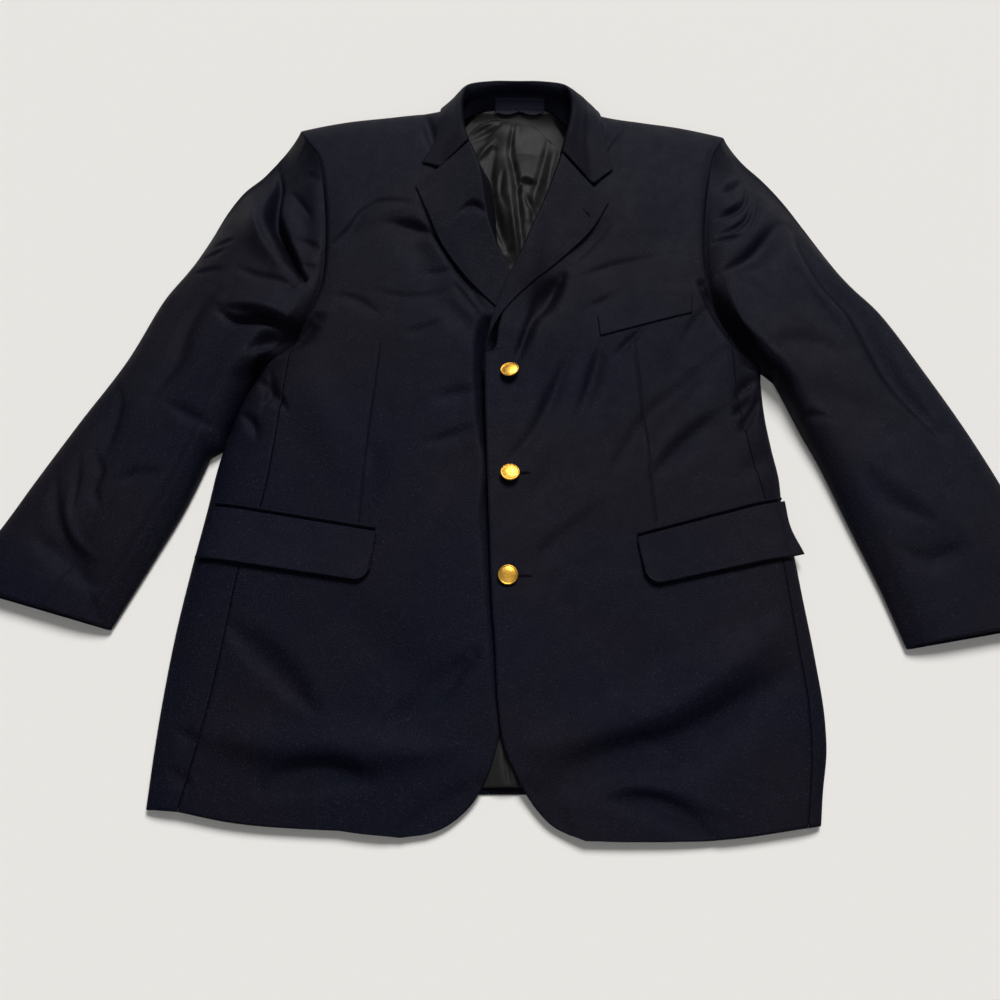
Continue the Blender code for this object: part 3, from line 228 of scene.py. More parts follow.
SLEEVE_OUTER = {  # elbow fold from the shoulder to the cuff: out, y
    "right": (
        (240, 466), (262, 446), (281, 419), (300, 398), (316, 369), (333, 325), (352, 283), (374, 242),
        (404, 164), (443, 89), (478, 19), (503, -33), (537, -94),
    ),
    "left": (
        (268, 458), (288, 441), (308, 418), (330, 384), (350, 345), (371, 303), (394, 262), (422, 222),
        (460, 145), (493, 71), (521, -4), (541, -70), (553, -131),
    ),
}
SLEEVE_INNER = {  # underarm fold from the armhole to the cuff: out, y
    "right": (
        (259, 150), (268, 147), (276, 133), (285, 106), (295, 72), (304, 37), (321, -14), (342, -63),
        (377, -141),
    ),
    "left": (
        (282, 150), (291, 146), (298, 128), (306, 105), (317, 73), (331, 37), (352, -30), (373, -95),
        (391, -160),
    ),
}
SLEEVE_LOFT = ((0, 34), (0.12, 36), (0.3, 30), (0.5, 24), (0.75, 19), (1, 14))  # share down, height
CAP_BLEND = 0.42  # share down the sleeve over which the armhole's shape fades out, at the elbow fold
CAP_BLEND_LESS = 0.8  # how much of that is taken off at the underarm
CAP_START, CAP_MATCH = 0.06, 0.055  # shares over which the folds, and the heights, leave the armhole's
SLEEVE_ROWS = np.linspace(0, 1, 188) ** 1.25
ELBOW_REACH, INNER_REACH = 58.0, 50.0  # width of the rounding at the elbow and underarm folds
SLEEVE_SEAMS = (2, 3)  # points round the tube from the elbow and underarm folds to the seams beneath
LIP_TOP, LIP_UNDER = (0.88, 1.5), (0.6, 2)  # where UNDERARM_REACH starts round the tube, and its power

# Soft ridges (positive) and troughs (negative) of the laid cloth.
FOLDS = (  # x0, y0, x1, y1, bow to the left of that direction, half width, height
    (-205, 285, -105, 352, 18, 14, 3.5),  # right chest, towards the armhole
    (-120, 330, -75, 250, 8, 14, -3.5),  # hollow beside the right lapel
    (-70, 232, -25, 178, 4, 12, -3.0),
    (62, 270, 22, 178, -8, 15, -6.0),  # hollow beside the left lapel's roll
    (90, 250, 34, 120, -10, 16, 3.0),
    (205, 330, 110, 245, -10, 26, -3.0),  # left chest
    (215, 215, 150, 90, 8, 20, -3.0),  # from the left underarm
    (235, 150, 120, -10, 8, 24, 3.0),
    (60, 40, 24, -20, 0, 12, -2.5),  # pull lines at the middle button
    (-30, 60, -60, 5, 0, 14, -2.5),
    (110, 20, 40, -60, 6, 18, 2.5),
    (-215, 150, -150, 20, 0, 24, 2.5),
    (-150, -120, -40, -215, -8, 22, -3.0),  # skirts
    (-240, -150, -150, -260, 10, 28, 2.5),
    (70, -130, 190, -235, 8, 30, -3.0),
    (255, -150, 120, -270, 8, 26, 3.0),
    (250, 20, 283, 52, 0, 10, -3.0),  # creases at the left waist
    (248, 70, 278, 98, 0, 10, -2.5),
    (-250, 70, -283, 40, 0, 11, -3.0),
    (-262, 428, -214, 250, 14, 17, -10.0),  # deep trough in the right sleeve's head
    (-292, 400, -240, 268, 10, 17, 4.0),
    (-345, 280, -372, 180, 0, 18, -4.0),
    (-410, 110, -425, 20, 8, 18, -4.0),
    (-455, -40, -400, -90, 0, 18, -4.5),
    (318, 336, 256, 272, 14, 16, -5.0),  # trough under the left sleeve's head
    (286, 390, 252, 330, 10, 14, -3.0),
    (346, 320, 440, 100, 6, 18, -5.0),  # long trough beside the left elbow fold
    (318, 120, 400, 70, 6, 18, -4.0),
    (400, 30, 470, -60, 0, 24, 4.0),
)
CREASES = (  # half width to the left and right of its direction, height, and x, y along it: sharper folds
    # the right sleeve's head and the roll across it
    (4, 5, -60, (-262, 429), (-256, 396), (-257, 368), (-255, 338), (-243, 308), (-229, 279), (-216, 255)),
    (16, 6, -14, (-268, 441), (-258, 396), (-263, 368), (-260, 338), (-247, 308), (-234, 279), (-218, 255)),
    (5, 13, 8, (-297, 402), (-288, 367), (-276, 326), (-262, 296), (-244, 271)),
    (3, 7, -3.5, (-290, 268), (-265, 256), (-240, 249), (-219, 236)),
    (15, 3, 8, (-301, 220), (-258, 211), (-219, 196)),
    (2.5, 7, -15, (-302, 211), (-287, 202), (-256, 201), (-233, 192), (-217, 184)),
    (2.5, 6, -2.6, (-324, 308), (-299, 310)),
    (2.5, 6, -2.6, (-335, 291), (-306, 297)),
    (2.5, 6, -2.6, (-340, 270), (-305, 268)),
    (10, 9, -5, (-312, 241), (-330, 212), (-340, 183), (-345, 152), (-367, 111)),
    (2.5, 4, -6, (-242, 384), (-228, 364), (-214, 341)),
    (3, 6, -5, (-231, 312), (-214, 305), (-197, 293)),
    (3, 6, -4, (-220, 275), (-200, 270)),
    (3, 6, -4, (-224, 406), (-206, 391)),
    # its lower half
    (4, 8, -3.4, (-403, 128), (-398, 102), (-405, 49)),
    (5, 8, -4, (-454, 28), (-443, -26), (-430, -52), (-409, -75)),
    (6, 4, 3.4, (-436, 11), (-434, -26), (-422, -52), (-400, -70)),
    (3, 6, -2.4, (-433, 46), (-430, 11), (-431, -24)),
    (4, 8, -3.4, (-415, 44), (-407, 22), (-411, 4), (-403, -13)),
    (12, 7, -7, (-460, -52), (-440, -65), (-423, -77), (-402, -98)),
    (8, 5, -2.6, (-346, 24), (-370, 20), (-395, 11)),
    (4, 7, -2.2, (-399, -107), (-387, -136)),
    (7, 7, -3, (-347, 100), (-316, 81), (-296, 72)),
    # beside the collar
    (8, 8, -6, (-90, 493), (-80, 456), (-68, 420)),
    (5, 10, -3.5, (154, 478), (131, 450), (112, 418)),
    # right chest
    (2.5, 10, -4, (-192, 296), (-172, 318), (-156, 345), (-134, 360), (-99, 358)),
    (4, 12, -9, (-122, 332), (-97, 328), (-71, 315)),
    (9, 5, -6, (-91, 354), (-67, 307), (-42, 262), (-22, 221)),
    (2, 6, -3, (-88, 265), (-66, 267), (-45, 271)),
    (2.5, 8, -2, (-137, 241), (-105, 235), (-82, 236), (-45, 248)),
    (3, 6, -3, (-50, 250), (-36, 231), (-23, 211)),
    (2.5, 7, -2.4, (-106, 188), (-82, 194), (-61, 207)),
    (3, 9, -2, (-183, 236), (-158, 231), (-132, 213)),
    (3, 9, -4, (-69, 110), (-46, 117), (-24, 120)),
    (2.2, 8, -5, (-78, 57), (-52, 67), (-26, 79)),
    # under the right arm, and that side
    (9, 12, -24, (-263, 164), (-245, 176), (-218, 187), (-200, 206)),
    (3, 7, -8, (-259, 137), (-241, 120), (-224, 98)),
    (5, 3, -8, (-246, 140), (-243, 120), (-250, 99)),
    (3, 6, -7, (-272, 95), (-259, 83), (-251, 64)),
    (12, 8, -2.2, (-139, 60), (-129, 26), (-144, -32)),
    # beside the left lapel
    (8, 14, -5, (128, 339), (103, 307), (78, 275)),
    (8, 10, -24, (68, 259), (53, 236), (37, 203)),
    (6, 3, -9, (42, 236), (33, 203), (24, 176), (15, 149)),
    # left chest
    (3, 7, -2.8, (86, 258), (133, 278), (178, 287)),
    (3, 7, -3, (96, 221), (112, 228), (127, 240)),
    (5, 2.5, -4.4, (155, 193), (139, 178), (122, 158)),
    (9, 5, -3, (227, 222), (214, 206), (197, 178)),
    (10, 5, -6.5, (108, 173), (98, 135), (83, 90)),
    (9, 5, -5, (74, 164), (55, 113), (31, 64), (5, 32)),
    (14, 8, -4.4, (240, 166), (194, 123), (153, 85), (107, 10)),
    (15, 8, -5.5, (232, 92), (194, 60), (155, 18)),
    (12, 7, -2.6, (103, -13), (60, -47), (26, -80)),
    # left waist
    (3, 6, -10, (257, 160), (277, 150)),
    (5, 3, -12, (252, 69), (264, 92), (276, 113)),
    (5, 3, -9, (248, 106), (262, 125), (276, 136)),
    (5, 3, -9, (246, 88), (265, 110)),
    # the left sleeve's head and the trough beside its elbow fold
    (4, 2.5, -6, (283, 405), (270, 387), (255, 372)),
    (4, 2.5, -6, (285, 388), (279, 362), (264, 345), (244, 335)),
    (4, 2.5, -6, (288, 361), (278, 335), (263, 321), (243, 312)),
    (3, 5, 3, (281, 414), (270, 397), (256, 384)),
    (3, 5, 3, (278, 372), (266, 355), (248, 345)),
    (4, 2.5, -4, (300, 381), (292, 345), (279, 315)),
    (4, 2.5, -5, (269, 310), (252, 307), (233, 301)),
    (13, 6, -8, (315, 335), (294, 304), (276, 282), (241, 259)),
    (15, 9, -15, (333, 335), (339, 298), (359, 251), (384, 218), (399, 177), (414, 133), (453, 67)),
    (6, 8, 3, (322, 315), (332, 279), (349, 239), (370, 202), (387, 162)),
    (4, 8, -3, (304, 81), (323, 86), (340, 83)),
    (12, 14, -4, (291, 168), (326, 174), (361, 161)),
    (12, 9, -3.6, (371, 26), (391, -9), (431, -33)),
    (9, 12, -3.2, (398, -61), (423, -73), (459, -59)),
    # skirts
    (14, 9, -8, (-258, -142), (-220, -177), (-175, -221)),
    (12, 7, -12, (-106, -237), (-71, -215), (-25, -170)),
    (15, 11, -15, (-212, -294), (-166, -281), (-122, -285)),
    (12, 14, -12, (-92, -335), (-55, -320), (-22, -291)),
    (4, 10, -7, (134, -246), (153, -260), (174, -266)),
    (22, 16, -15, (45, -297), (110, -269), (176, -256), (268, -192)),
    (8, 10, -10, (101, -303), (144, -310), (190, -335)),
    (12, 9, -9, (24, -294), (39, -313), (59, -330)),
    # gap under the left arm
    (7, 6, -22, (222, 249), (236, 217), (255, 181), (274, 149)),
    # bright bands over the hem, and hollows
    (26, 22, 9, (37, -256), (130, -232), (258, -153)),
    (24, 16, 9, (-268, -245), (-183, -260), (-55, -260)),
    (12, 8, 3.6, (87, -287), (145, -292), (201, -315)),
    (4, 8, -2.6, (-298, -239), (-278, -251)),
    (4, 8, -2.6, (-301, -274), (-279, -291)),
)
UNDER_CREASES = (  # the same on the underside, where the cloth stands off the table
    (10, 6, 1.6, (-150, 380), (-140, 300), (-146, 220)),
    (12, 7, 1.8, (160, 360), (150, 260), (158, 170)),
    (9, 5, 1.4, (-60, 120), (-48, 20), (-56, -80)),
    (10, 6, 1.6, (90, 60), (104, -40), (98, -160)),
    (8, 5, 1.4, (-150, -60), (-170, -150), (-160, -220)),
    (8, 5, 1.5, (60, 330), (100, 300), (130, 250)),
    (9, 6, 2.0, (-330, 240), (-352, 190), (-366, 130)),
    (8, 5, 1.6, (-420, 60), (-404, 0), (-410, -50)),
    (9, 6, 2.0, (330, 250), (352, 190), (360, 130)),
    (9, 6, 1.8, (420, 40), (438, -10), (462, -50)),
)
LEAST_LOFT = 6.0  # height that the deepest crease keeps over the table
LEAST_DEPTH = 0.3  # that a crease may have where the cloth lies lower than that
FOLD_ENDS = 0.35  # share of its height that a fold has at its ends
CREASE_REACH = 3  # half widths beside a crease within which it adds anything
CREASE_ENDS, CREASE_TAPER = 0.04, 0.7  # share of its length at each end, and power, of its fading out
ARMHOLE_GROOVE = (2.4, 2.4, -5)  # the first three columns of CREASES, along the armhole seams
DART = {  # x, y down each front from the chest to the hip pocket
    "right": ((-129.1, 179.6), (-134.0, 118.1), (-138.6, 59.7), (-143.0, -36.9)),
    "left": ((144.2, 178.4), (148.8, 118.1), (152.9, 37.0), (156.9, -36.9)),
}
DART_GROOVE, DART_DEPTH, DART_END = 0.8, 1.3, 12  # half width and depth of its line, and its fading out
DART_STEPS = 6  # rounds in which its place in each row is found
EDGE_HOLLOW = (  # y, depth and width of the right front's dip beside the left front's edge
    (-300, 0, 5), (-240, 4, 5), (-118, 9, 7), (-60, 12, 9), (-29, 17, 13), (0, 10, 8), (20, 6, 5),
    (45, 6, 5), (62, 11, 8), (82, 18, 11), (130, 22, 14), (180, 20, 14), (200, 9, 11), (210, 0, 8),
)
HOLLOW_POWER, HOLLOW_FLOOR = 1.3, 8  # how its open side rises, and the height that it keeps
HOLLOW_COVERED, HOLLOW_END = 18, 16  # how far it goes on under the left front, and fades out there
OVERLAP_X = (34, 60)  # x between which the left front comes down off the right one
OVERLAP_Y = ((-400, -260), (140, 190), (290, 360))  # y between which it rises, rises more, and ends
OVERLAP_GAP, OVERLAP_MORE = 0.4, 3.6
LAPEL_DENTS = ((3, 6, -5, (-47.7, 341), (-31, 353), (-11, 337)),)  # the same columns as CREASES
BRIDGED_DEPTH = 0.2  # share of a crease's depth that shows in the stiffer pieces lying over it
UNDERARM_REACH = {  # y, how far the sleeve's under half reaches in towards the side
    "right": ((45, 0), (54, 11.0), (72, 9.4), (106, 11), (133, 11), (146, 8), (152, 0)),
    "left": ((0, 0), (152, 0)),
}

FLAP = {  # corners of the hip pocket flaps, from the top front one round by the hem: x, y
    "right": ((-124, -42), (-131, -96), (-302.5, -69), (-291, -13)),
    "left": ((137, -48), (146, -100), (302, -65), (289, -6)),
}
FLAP_BOW = {"right": 0.0, "left": 3.5}  # how far the outer end is hollowed, beside the side fold
FLAP_BOW_ALONG, FLAP_BOW_DOWN = 8, 1.5  # powers of the hollow's shape
FLAP_CORNER, FLAP_CORNER_COLUMNS = 13.0, 12  # radius of its rounded corner
FLAP_COLUMNS, FLAP_ROWS = 80, 28
FLAP_LIFT = 2.2  # how far its lower edge stands off the front
FLAP_CLOTH = 2.0
FLAP_FROM_FOLD = 4  # distance from the side fold at which the flap stops following the body down
JET = 5.0  # width of the piping over a flap
JET_GAP, JET_BEAD = 1.3, 2.0  # its distance from the flap, and how far its middle is rounded up
JET_SPAN = (0.005, 0.985)  # share of the flap's length that has it over it
JET_COLUMNS, JET_ROWS = 90, 7
WELT_RISE = 1.5  # how far the chest welt's face stands over the front
WELT_COLUMNS, WELT_ROWS = 60, 14
CHEST_WELT = ((108, 183), (209, 213), (211, 238), (106, 207))

LINING_HALF = ((-291, 62), (-100, 80), (100, 100), (300, 110), (400, 96), (470, 76), (498, 62), (517, 46))
LINING_ROWS = (-291, -275, -250, -215, -150, 0, 150, 225, 245, 517.5)  # y, the last stretch in equal steps
LINING_PARTS, LINING_TOP_ROWS, LINING_COLUMNS = 6, 125, 82
LINING_OFF = 1.12  # how much higher than the underside's own rise it lies
LINING_SWELL, LINING_FADE, LINING_FADES = 0.8, 500, 14  # its fullness, fading out from that y over so much
LINING_CREASES = (  # the same columns as CREASES, on the back lining
    (36, 36, 14, (26, 462), (23, 380), (20, 284)),
    (20, 20, 5, (-20, 492), (30, 490)),
    (2, 6, -7, (18, 502), (14, 464), (20, 410), (23, 358), (27, 300)),
    (6, 5, -14, (-8, 462), (-14, 422), (-10, 380), (0, 339), (9, 308)),
    (3, 2, 4, (-36, 486), (-17, 500), (4, 508)),
    (2.5, 3, -5, (-36, 475), (-17, 486), (0, 500)),
    (2.5, 3, -4, (-32, 505), (-17, 510), (0, 514)),
    (5, 3, 4, (-29, 443), (-17, 462), (-7, 475)),
    (9, 7, -10, (36, 510), (56, 502), (73, 471)),
    (3, 5, -8, (21, 401), (31, 408), (41, 401)),
    (6, 5, 5, (58, 475), (50, 425), (32, 348)),
    (4, 3, -5, (28, 386), (37, 363), (41, 334)),
    (3, 3, -4, (4, 428), (1, 395), (8, 363)),
    (5, 3, 5, (12, 380), (15, 344), (20, 300)),
    (3, 4, -4, (67, 462), (60, 433), (54, 398)),
    (16, 16, 5, (4, -240), (6, -310)),
    (2, 3, -2.5, (4, -255), (9, -289)),
)
LABEL_SIDES = (-6, 54)  # x
LABEL_PATH = ((530.2, 21.0), (526.3, 15.2), (522.0, 11.1), (518.2, 10.0), (514.6, 9.2))  # y, z
LABEL_SCALLOP = 0.22  # share of its length that the two lobes of its lower edge hang down
LABEL_COLUMNS, LABEL_ROWS = 61, 24
LABEL_BEND = 24  # x from the neck's middle at which it has curved round by 1

BUTTONS = (  # x, y, tilt away from the hem and towards the wearer's right, in degrees
    (10.6, 138.5, 15, 9),
    (10.2, 20, 9, 0),
    (7.8, -89, -13, 0),
)
BUTTONHOLES = (  # name, the two ends, height of its cloth over the front
    ("buttonhole_1", (12, 138.5), (20, 139), 0),
    ("buttonhole_2", (13, 20.5), (30.8, 22), 0),
    ("buttonhole_3", (12, -89.2), (31.4, -89.2), 0),
    ("buttonhole_lapel", (88.5, 355), (102, 337), LAY + FACING),
)
HOLE_HALF, HOLE_THREAD = 0.9, 0.45  # half width of the slot, and radius of the thread round it
HOLE_SEGMENTS, THREAD_SEGMENTS, THREAD_UP = 72, 8, 1.1  # and height of its centre, in radii
BUTTON_SEGMENTS, BUTTON_UP = 64, 0.6
BUTTON_PROFILE = (  # radius, height over the cloth, from the shank's foot up to the dome's top
    (0, 0), (2.2, 0), (2.0, 1.2), (8.8, 1.6), (9.8, 2.2), (10.0, 3.0), (9.7, 3.7), (9.1, 4.1), (8.6, 3.8),
    (8.2, 3.5), (7.4, 3.8), (4.5, 4.5), (0, 4.8),
)

WOOL_BLUE = (0.0013, 0.0019, 0.0062)
WOOL_WARM = (0.0040, 0.0029, 0.0058)
WOOL_FIBRE = (0.0230, 0.0230, 0.0310)
WOOL_LINT = (0.026, 0.026, 0.032)
TWILL_SHARE = 0.14  # of the twill in the wool's bump, beside its fibres
LINING_DARK = (0.008, 0.008, 0.0085)
LINING_PALE = (0.016, 0.016, 0.017)
LABEL_DARK = (0.004, 0.006, 0.019)
LABEL_PALE = (0.008, 0.011, 0.031)
GOLD_DEEP = (0.84, 0.44, 0.055)
GOLD_PALE = (0.93, 0.59, 0.13)
FLOOR_COLOUR = (0.835, 0.825, 0.805)
FLOOR_SIZE, FLOOR_PLACE = 40, (0, 2, -0.0004)  # metres

CAMERA_PLACE = (-0.008, -0.5765, 1.008)  # metres, in the part's frame
CAMERA_TILT = 25.0  # degrees from straight down
CAMERA_LENS, CAMERA_SENSOR = 38.988, 36
CAMERA_CLIP = (0.01, 100)  # metres

WORLD_COLOUR = (1.0, 1.0, 1.0)
WORLD_STRENGTH = 0.10
SUNS = (  # name, strength, place that it shines from to the origin, width in degrees, colour
    ("key", 3.2, (0.4, 1.5, 1.6), 26, (1.0, 0.985, 0.965)),
    ("fill", 0.5, (0.0, -1.2, 1.8), 50, (1.0, 1.0, 1.0)),
)


def in_frame(points):
    """Points in metres in the part's frame, whose origin is MIDDLE."""
    return (np.asarray(points, float) - (*MIDDLE, 0)) * MM


def ramp(value, start, end):
    """0 up to start, 1 from end on, and a straight line between them."""
    return np.clip((value - start) / (end - start), 0, 1)


def eased(t):
    """A share from 0 to 1, made level at both ends."""
    return t**2 * (3 - 2 * t)


def cubic(t, start, end, leaving, arriving):
    """The cubic from start to end with those slopes, per step, at its two ends."""
    return (
        (2 * t**3 - 3 * t**2 + 1) * start + (t**3 - 2 * t**2 + t) * leaving
        + (3 * t**2 - 2 * t**3) * end + (t**3 - t**2) * arriving
    )


def smooth(table, key):
    """The value at key of a smooth curve through a table's rows, which start with their key."""
    rows = np.array(table, float)
    x, y = rows[:, 0], rows[:, 1]
    key = np.clip(np.asarray(key, float), x[0], x[-1])
    slope = np.gradient(y, x)
    i = np.clip(np.searchsorted(x, key) - 1, 0, len(x) - 2)
    h = x[i + 1] - x[i]
    return cubic((key - x[i]) / h, y[i], y[i + 1], h * slope[i], h * slope[i + 1])


class Curve:
    """A smooth curve through points, read by its share of the whole length."""

    STEPS = 16  # between two of the points

    def __init__(self, points):
        p = np.array(points, float)
        p = np.vstack([2 * p[0] - p[1], p, 2 * p[-1] - p[-2]])
        knots = np.concatenate([[0], np.cumsum(np.linalg.norm(np.diff(p, axis=0), axis=1) ** 0.5)])
        dense = [p[1]]
        for i in range(1, len(p) - 2):
            for t in np.linspace(knots[i], knots[i + 1], self.STEPS + 1)[1:]:
                dense.append(self._at(p[i - 1:i + 3], knots[i - 1:i + 3], t))
        self.line = np.array(dense)
        length = np.concatenate([[0], np.cumsum(np.linalg.norm(np.diff(self.line, axis=0), axis=1))])
        self.length = length[-1]
        self.share = length / self.length

    @staticmethod
    def _at(p, k, t):
        """A centripetal cubic between the middle two of four points."""
        a = [((k[i + 1] - t) * p[i] + (t - k[i]) * p[i + 1]) / (k[i + 1] - k[i]) for i in range(3)]
        b = [((k[i + 2] - t) * a[i] + (t - k[i]) * a[i + 1]) / (k[i + 2] - k[i]) for i in range(2)]
        return ((k[2] - t) * b[0] + (t - k[1]) * b[1]) / (k[2] - k[1])

    def at(self, share):
        share = np.asarray(share, float)
        return np.stack([np.interp(share, self.share, c) for c in self.line.T], axis=-1)


def from_fold(x, y):
    """Distance in from the side fold, on the side that each x lies on."""
    return np.where(x < 0, smooth(SIDE_EDGE["right"], y), smooth(SIDE_EDGE["left"], y)) - np.abs(x)


def rounding(distance, reach):
    """0 at a fold's outermost line, rising as a quarter ellipse to 1 at its reach."""
    t = np.clip(distance / reach, 0, 1)
    return np.sqrt(1 - (1 - t) ** 2)


def relief(folds, x, y):
    """Height that soft ridges and troughs add at x, y."""
    total = np.zeros(np.broadcast(x, y).shape)
    for x0, y0, x1, y1, bow, half_width, height in folds:
        length = math.hypot(x1 - x0, y1 - y0)
        ux, uy = (x1 - x0) / length, (y1 - y0) / length
        along = ((x - x0) * ux + (y - y0) * uy) / length
        across = -(x - x0) * uy + (y - y0) * ux - bow * (1 - (2 * np.clip(along, 0, 1) - 1) ** 2)
        past = np.maximum(np.maximum(-along, along - 1), 0) * length / half_width
        taper = FOLD_ENDS + (1 - FOLD_ENDS) * np.sin(math.pi * np.clip(along, 0, 1))
        total = total + height * taper * np.exp(-(across / half_width) ** 2 - past**2)
    return total


def creases(lines, x, y):
    """Height that narrow folds add at x, y, each along its own curve and fading to its ends."""
    x, y = np.broadcast_arrays(x, y)
    total = np.zeros(x.shape)
    for left, right, height, curve in lines:
        reach = CREASE_REACH * max(left, right)
        (low_x, low_y), (high_x, high_y) = curve.line.min(axis=0) - reach, curve.line.max(axis=0) + reach
        near = (x > low_x) & (x < high_x) & (y > low_y) & (y < high_y)
        if not near.any():
            continue
        start, step = curve.line[:-1], np.diff(curve.line, axis=0)
        away = np.stack([x[near], y[near]], axis=-1)[:, None] - start
        along = np.clip((away * step).sum(axis=-1) / (step**2).sum(axis=-1), 0, 1)
        distance = ((away - along[..., None] * step) ** 2).sum(axis=-1)
        best = distance.argmin(axis=1)
        which = np.arange(len(best))
        share = curve.share[best] + along[which, best] * (curve.share[best + 1] - curve.share[best])
        side = step[best, 0] * away[which, best, 1] - step[best, 1] * away[which, best, 0]
        taper = np.sin(math.pi * np.clip(share, CREASE_ENDS, 1 - CREASE_ENDS)) ** CREASE_TAPER
        half_width = np.where(side > 0, left, right) * (0.5 + 0.5 * taper)
        total[near] += height * taper * np.exp(-distance[which, best] / half_width**2)
    return total


def curved(table):
    """A table of creases with each row's points as one curve."""
    return [(*row[:3], Curve(row[3:])) for row in table]


TOP_CREASES = curved(CREASES)
for side, sign in SIGN.items():
    TOP_CREASES += curved([(*ARMHOLE_GROOVE, *((sign * out, y) for out, y in ARMHOLE_FRONT[side][1:]))])
LOW_CREASES = curved(UNDER_CREASES)
BACK_LINING_CREASES = curved(LINING_CREASES)
DENTS = curved(LAPEL_DENTS)


def laid(top, x, y, deep):
    """What folds and creases add to the height top at x, y, never down to the cloth below."""
    crease = creases(TOP_CREASES, x, y)
    added = relief(FOLDS, x, y) + np.where(crease < 0, crease * deep, crease)
    most = np.maximum(top - LEAST_LOFT, LEAST_DEPTH)
    return np.where(added < 0, -most * (1 - np.exp(np.minimum(added, 0) / most)), added)


def body_top(x, y, deep=1.0):
    """Height of the outer face of the laid body at x, y, with that share of its creases' depth."""
    x, y = np.asarray(x, float), np.asarray(y, float)
    over_shoulder = rounding(smooth(SHOULDER_OUT, x) - y, SHOULDER_REACH)
    crest = SHOULDER_MID + (smooth(LOFT, y) - SHOULDER_MID) * over_shoulder
    top = np.where(y > SHOULDER_FROM, crest, smooth(LOFT, y))
    side = rounding(from_fold(x, y), smooth(FOLD_REACH, y))
    return FOLD_MID + (top - FOLD_MID + laid(top, x, y, deep) * over_shoulder) * side


def body_under(x, y):
    """Height of the outer face underneath: the table, rising at the sides and the shoulders."""
    side = FOLD_MID * (1 - rounding(from_fold(x, y), FOLD_TURN))
    shoulder = SHOULDER_MID * (1 - rounding(smooth(SHOULDER_OUT, x) - y, SHOULDER_TURN))
    return np.maximum(side, shoulder) + creases(LOW_CREASES, x, y)


def overlap(x, y):
    """How much the left front stands over body_top where the right front lies under it."""
    start, more, end = (ramp(y, *between) for between in OVERLAP_Y)
    rise = WOOL + LAY + OVERLAP_GAP + OVERLAP_MORE * more**2
    return rise * (1 - eased(ramp(x, *OVERLAP_X))) * (1 - end) * start


def front_top(side, x, y):
    return body_top(x, y) + (overlap(x, y) if side == "left" else -edge_hollow(x, y))


def bridged(side, x, y):
    """Height of the front's face where a stiffer piece lies on it and spans the creases."""
    return body_top(x, y, BRIDGED_DEPTH) + (overlap(x, y) if side == "left" else 0)


def edge_hollow(x, y):
    """How far the right front dips where the left front's edge lies over it."""
    edge = np.array(FRONT_EDGE["left"])
    away = np.interp(y, edge[:, 1], edge[:, 0]) - x
    y_rows, depths, widths = np.array(EDGE_HOLLOW).T
    open_side = np.clip(1 - away / np.interp(y, y_rows, widths), 0, 1) ** HOLLOW_POWER
    covered = np.clip(1 + (away + HOLLOW_COVERED) / HOLLOW_END, 0, 1)
    shape = np.where(away > 0, open_side, eased(covered))
    return np.minimum(np.interp(y, y_rows, depths), body_top(x, y) - HOLLOW_FLOOR) * shape


def surface_normals(height, x, y, step=0.4):
    """Unit normals, facing up, of the surface z = height(x, y)."""
    dx = (height(x + step, y) - height(x - step, y)) / (2 * step)
    dy = (height(x, y + step) - height(x, y - step)) / (2 * step)
    return unit(np.stack([-dx, -dy, np.ones_like(dx)], axis=-1))


def unit(vectors):
    """Vectors made one long."""
    return vectors / np.linalg.norm(vectors, axis=-1, keepdims=True)


def grid_normals(grid, towards):
    """Unit normals of a grid of points, on the side that faces towards at its middle."""
    down, across = (np.gradient(grid, axis=axis, edge_order=2) for axis in (0, 1))
    normals = unit(np.cross(down, across))
    middle = normals[grid.shape[0] // 2, grid.shape[1] // 2]
    return normals if middle @ np.array(towards, float) > 0 else -normals


def denser(grid, parts):
    """A grid with smooth curves run along its rows, parts steps to each of theirs."""
    columns = grid.shape[1]
    at = np.linspace(0, columns - 1, (columns - 1) * parts + 1)
    i = np.minimum(at.astype(int), columns - 2)
    slope = np.gradient(grid, axis=1)
    return cubic((at - i)[None, :, None], grid[:, i], grid[:, i + 1], slope[:, i], slope[:, i + 1])


def pulled_in(grid, distance, least=1e-9, most=0.45):
    """A grid whose border points are moved in towards their neighbours, for a rounded rim.

    least is the length below which a step counts as none, and most the largest share of one to move by.
    """
    grid = grid.copy()
    for axis in (0, 1):
        lines = np.moveaxis(grid, axis, 0)
        for edge, near in ((0, 1), (-1, -2)):
            step = lines[near] - lines[edge]
            length = np.linalg.norm(step, axis=-1, keepdims=True)
            lines[edge] += step * np.minimum(distance / np.maximum(length, least), most)
    return grid


def arc(grid, axis):
    """Distance along a grid's lines from their start."""
    steps = np.linalg.norm(np.diff(grid, axis=axis), axis=-1)
    return np.insert(np.cumsum(steps, axis=axis), 0, 0, axis=axis)


def add_piece(name, kind, points, faces, material, place=(0, 0, 0), turn=(0, 0, 0)):
    """A piece that rides on the root. All but the threads stand for the CAD node of that name."""
    mesh = bpy.data.meshes.new(name)
    mesh.from_pydata(points, [], faces)
    mesh.materials.append(material)
    mesh.shade_smooth()
    piece = bpy.data.objects.new(f"{name}_{kind}", mesh)
    piece.location = place
    piece.rotation_euler = turn
    bpy.context.scene.collection.objects.link(piece)
    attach(piece, "root")
    if kind != "thread":
        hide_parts(name)
    return piece


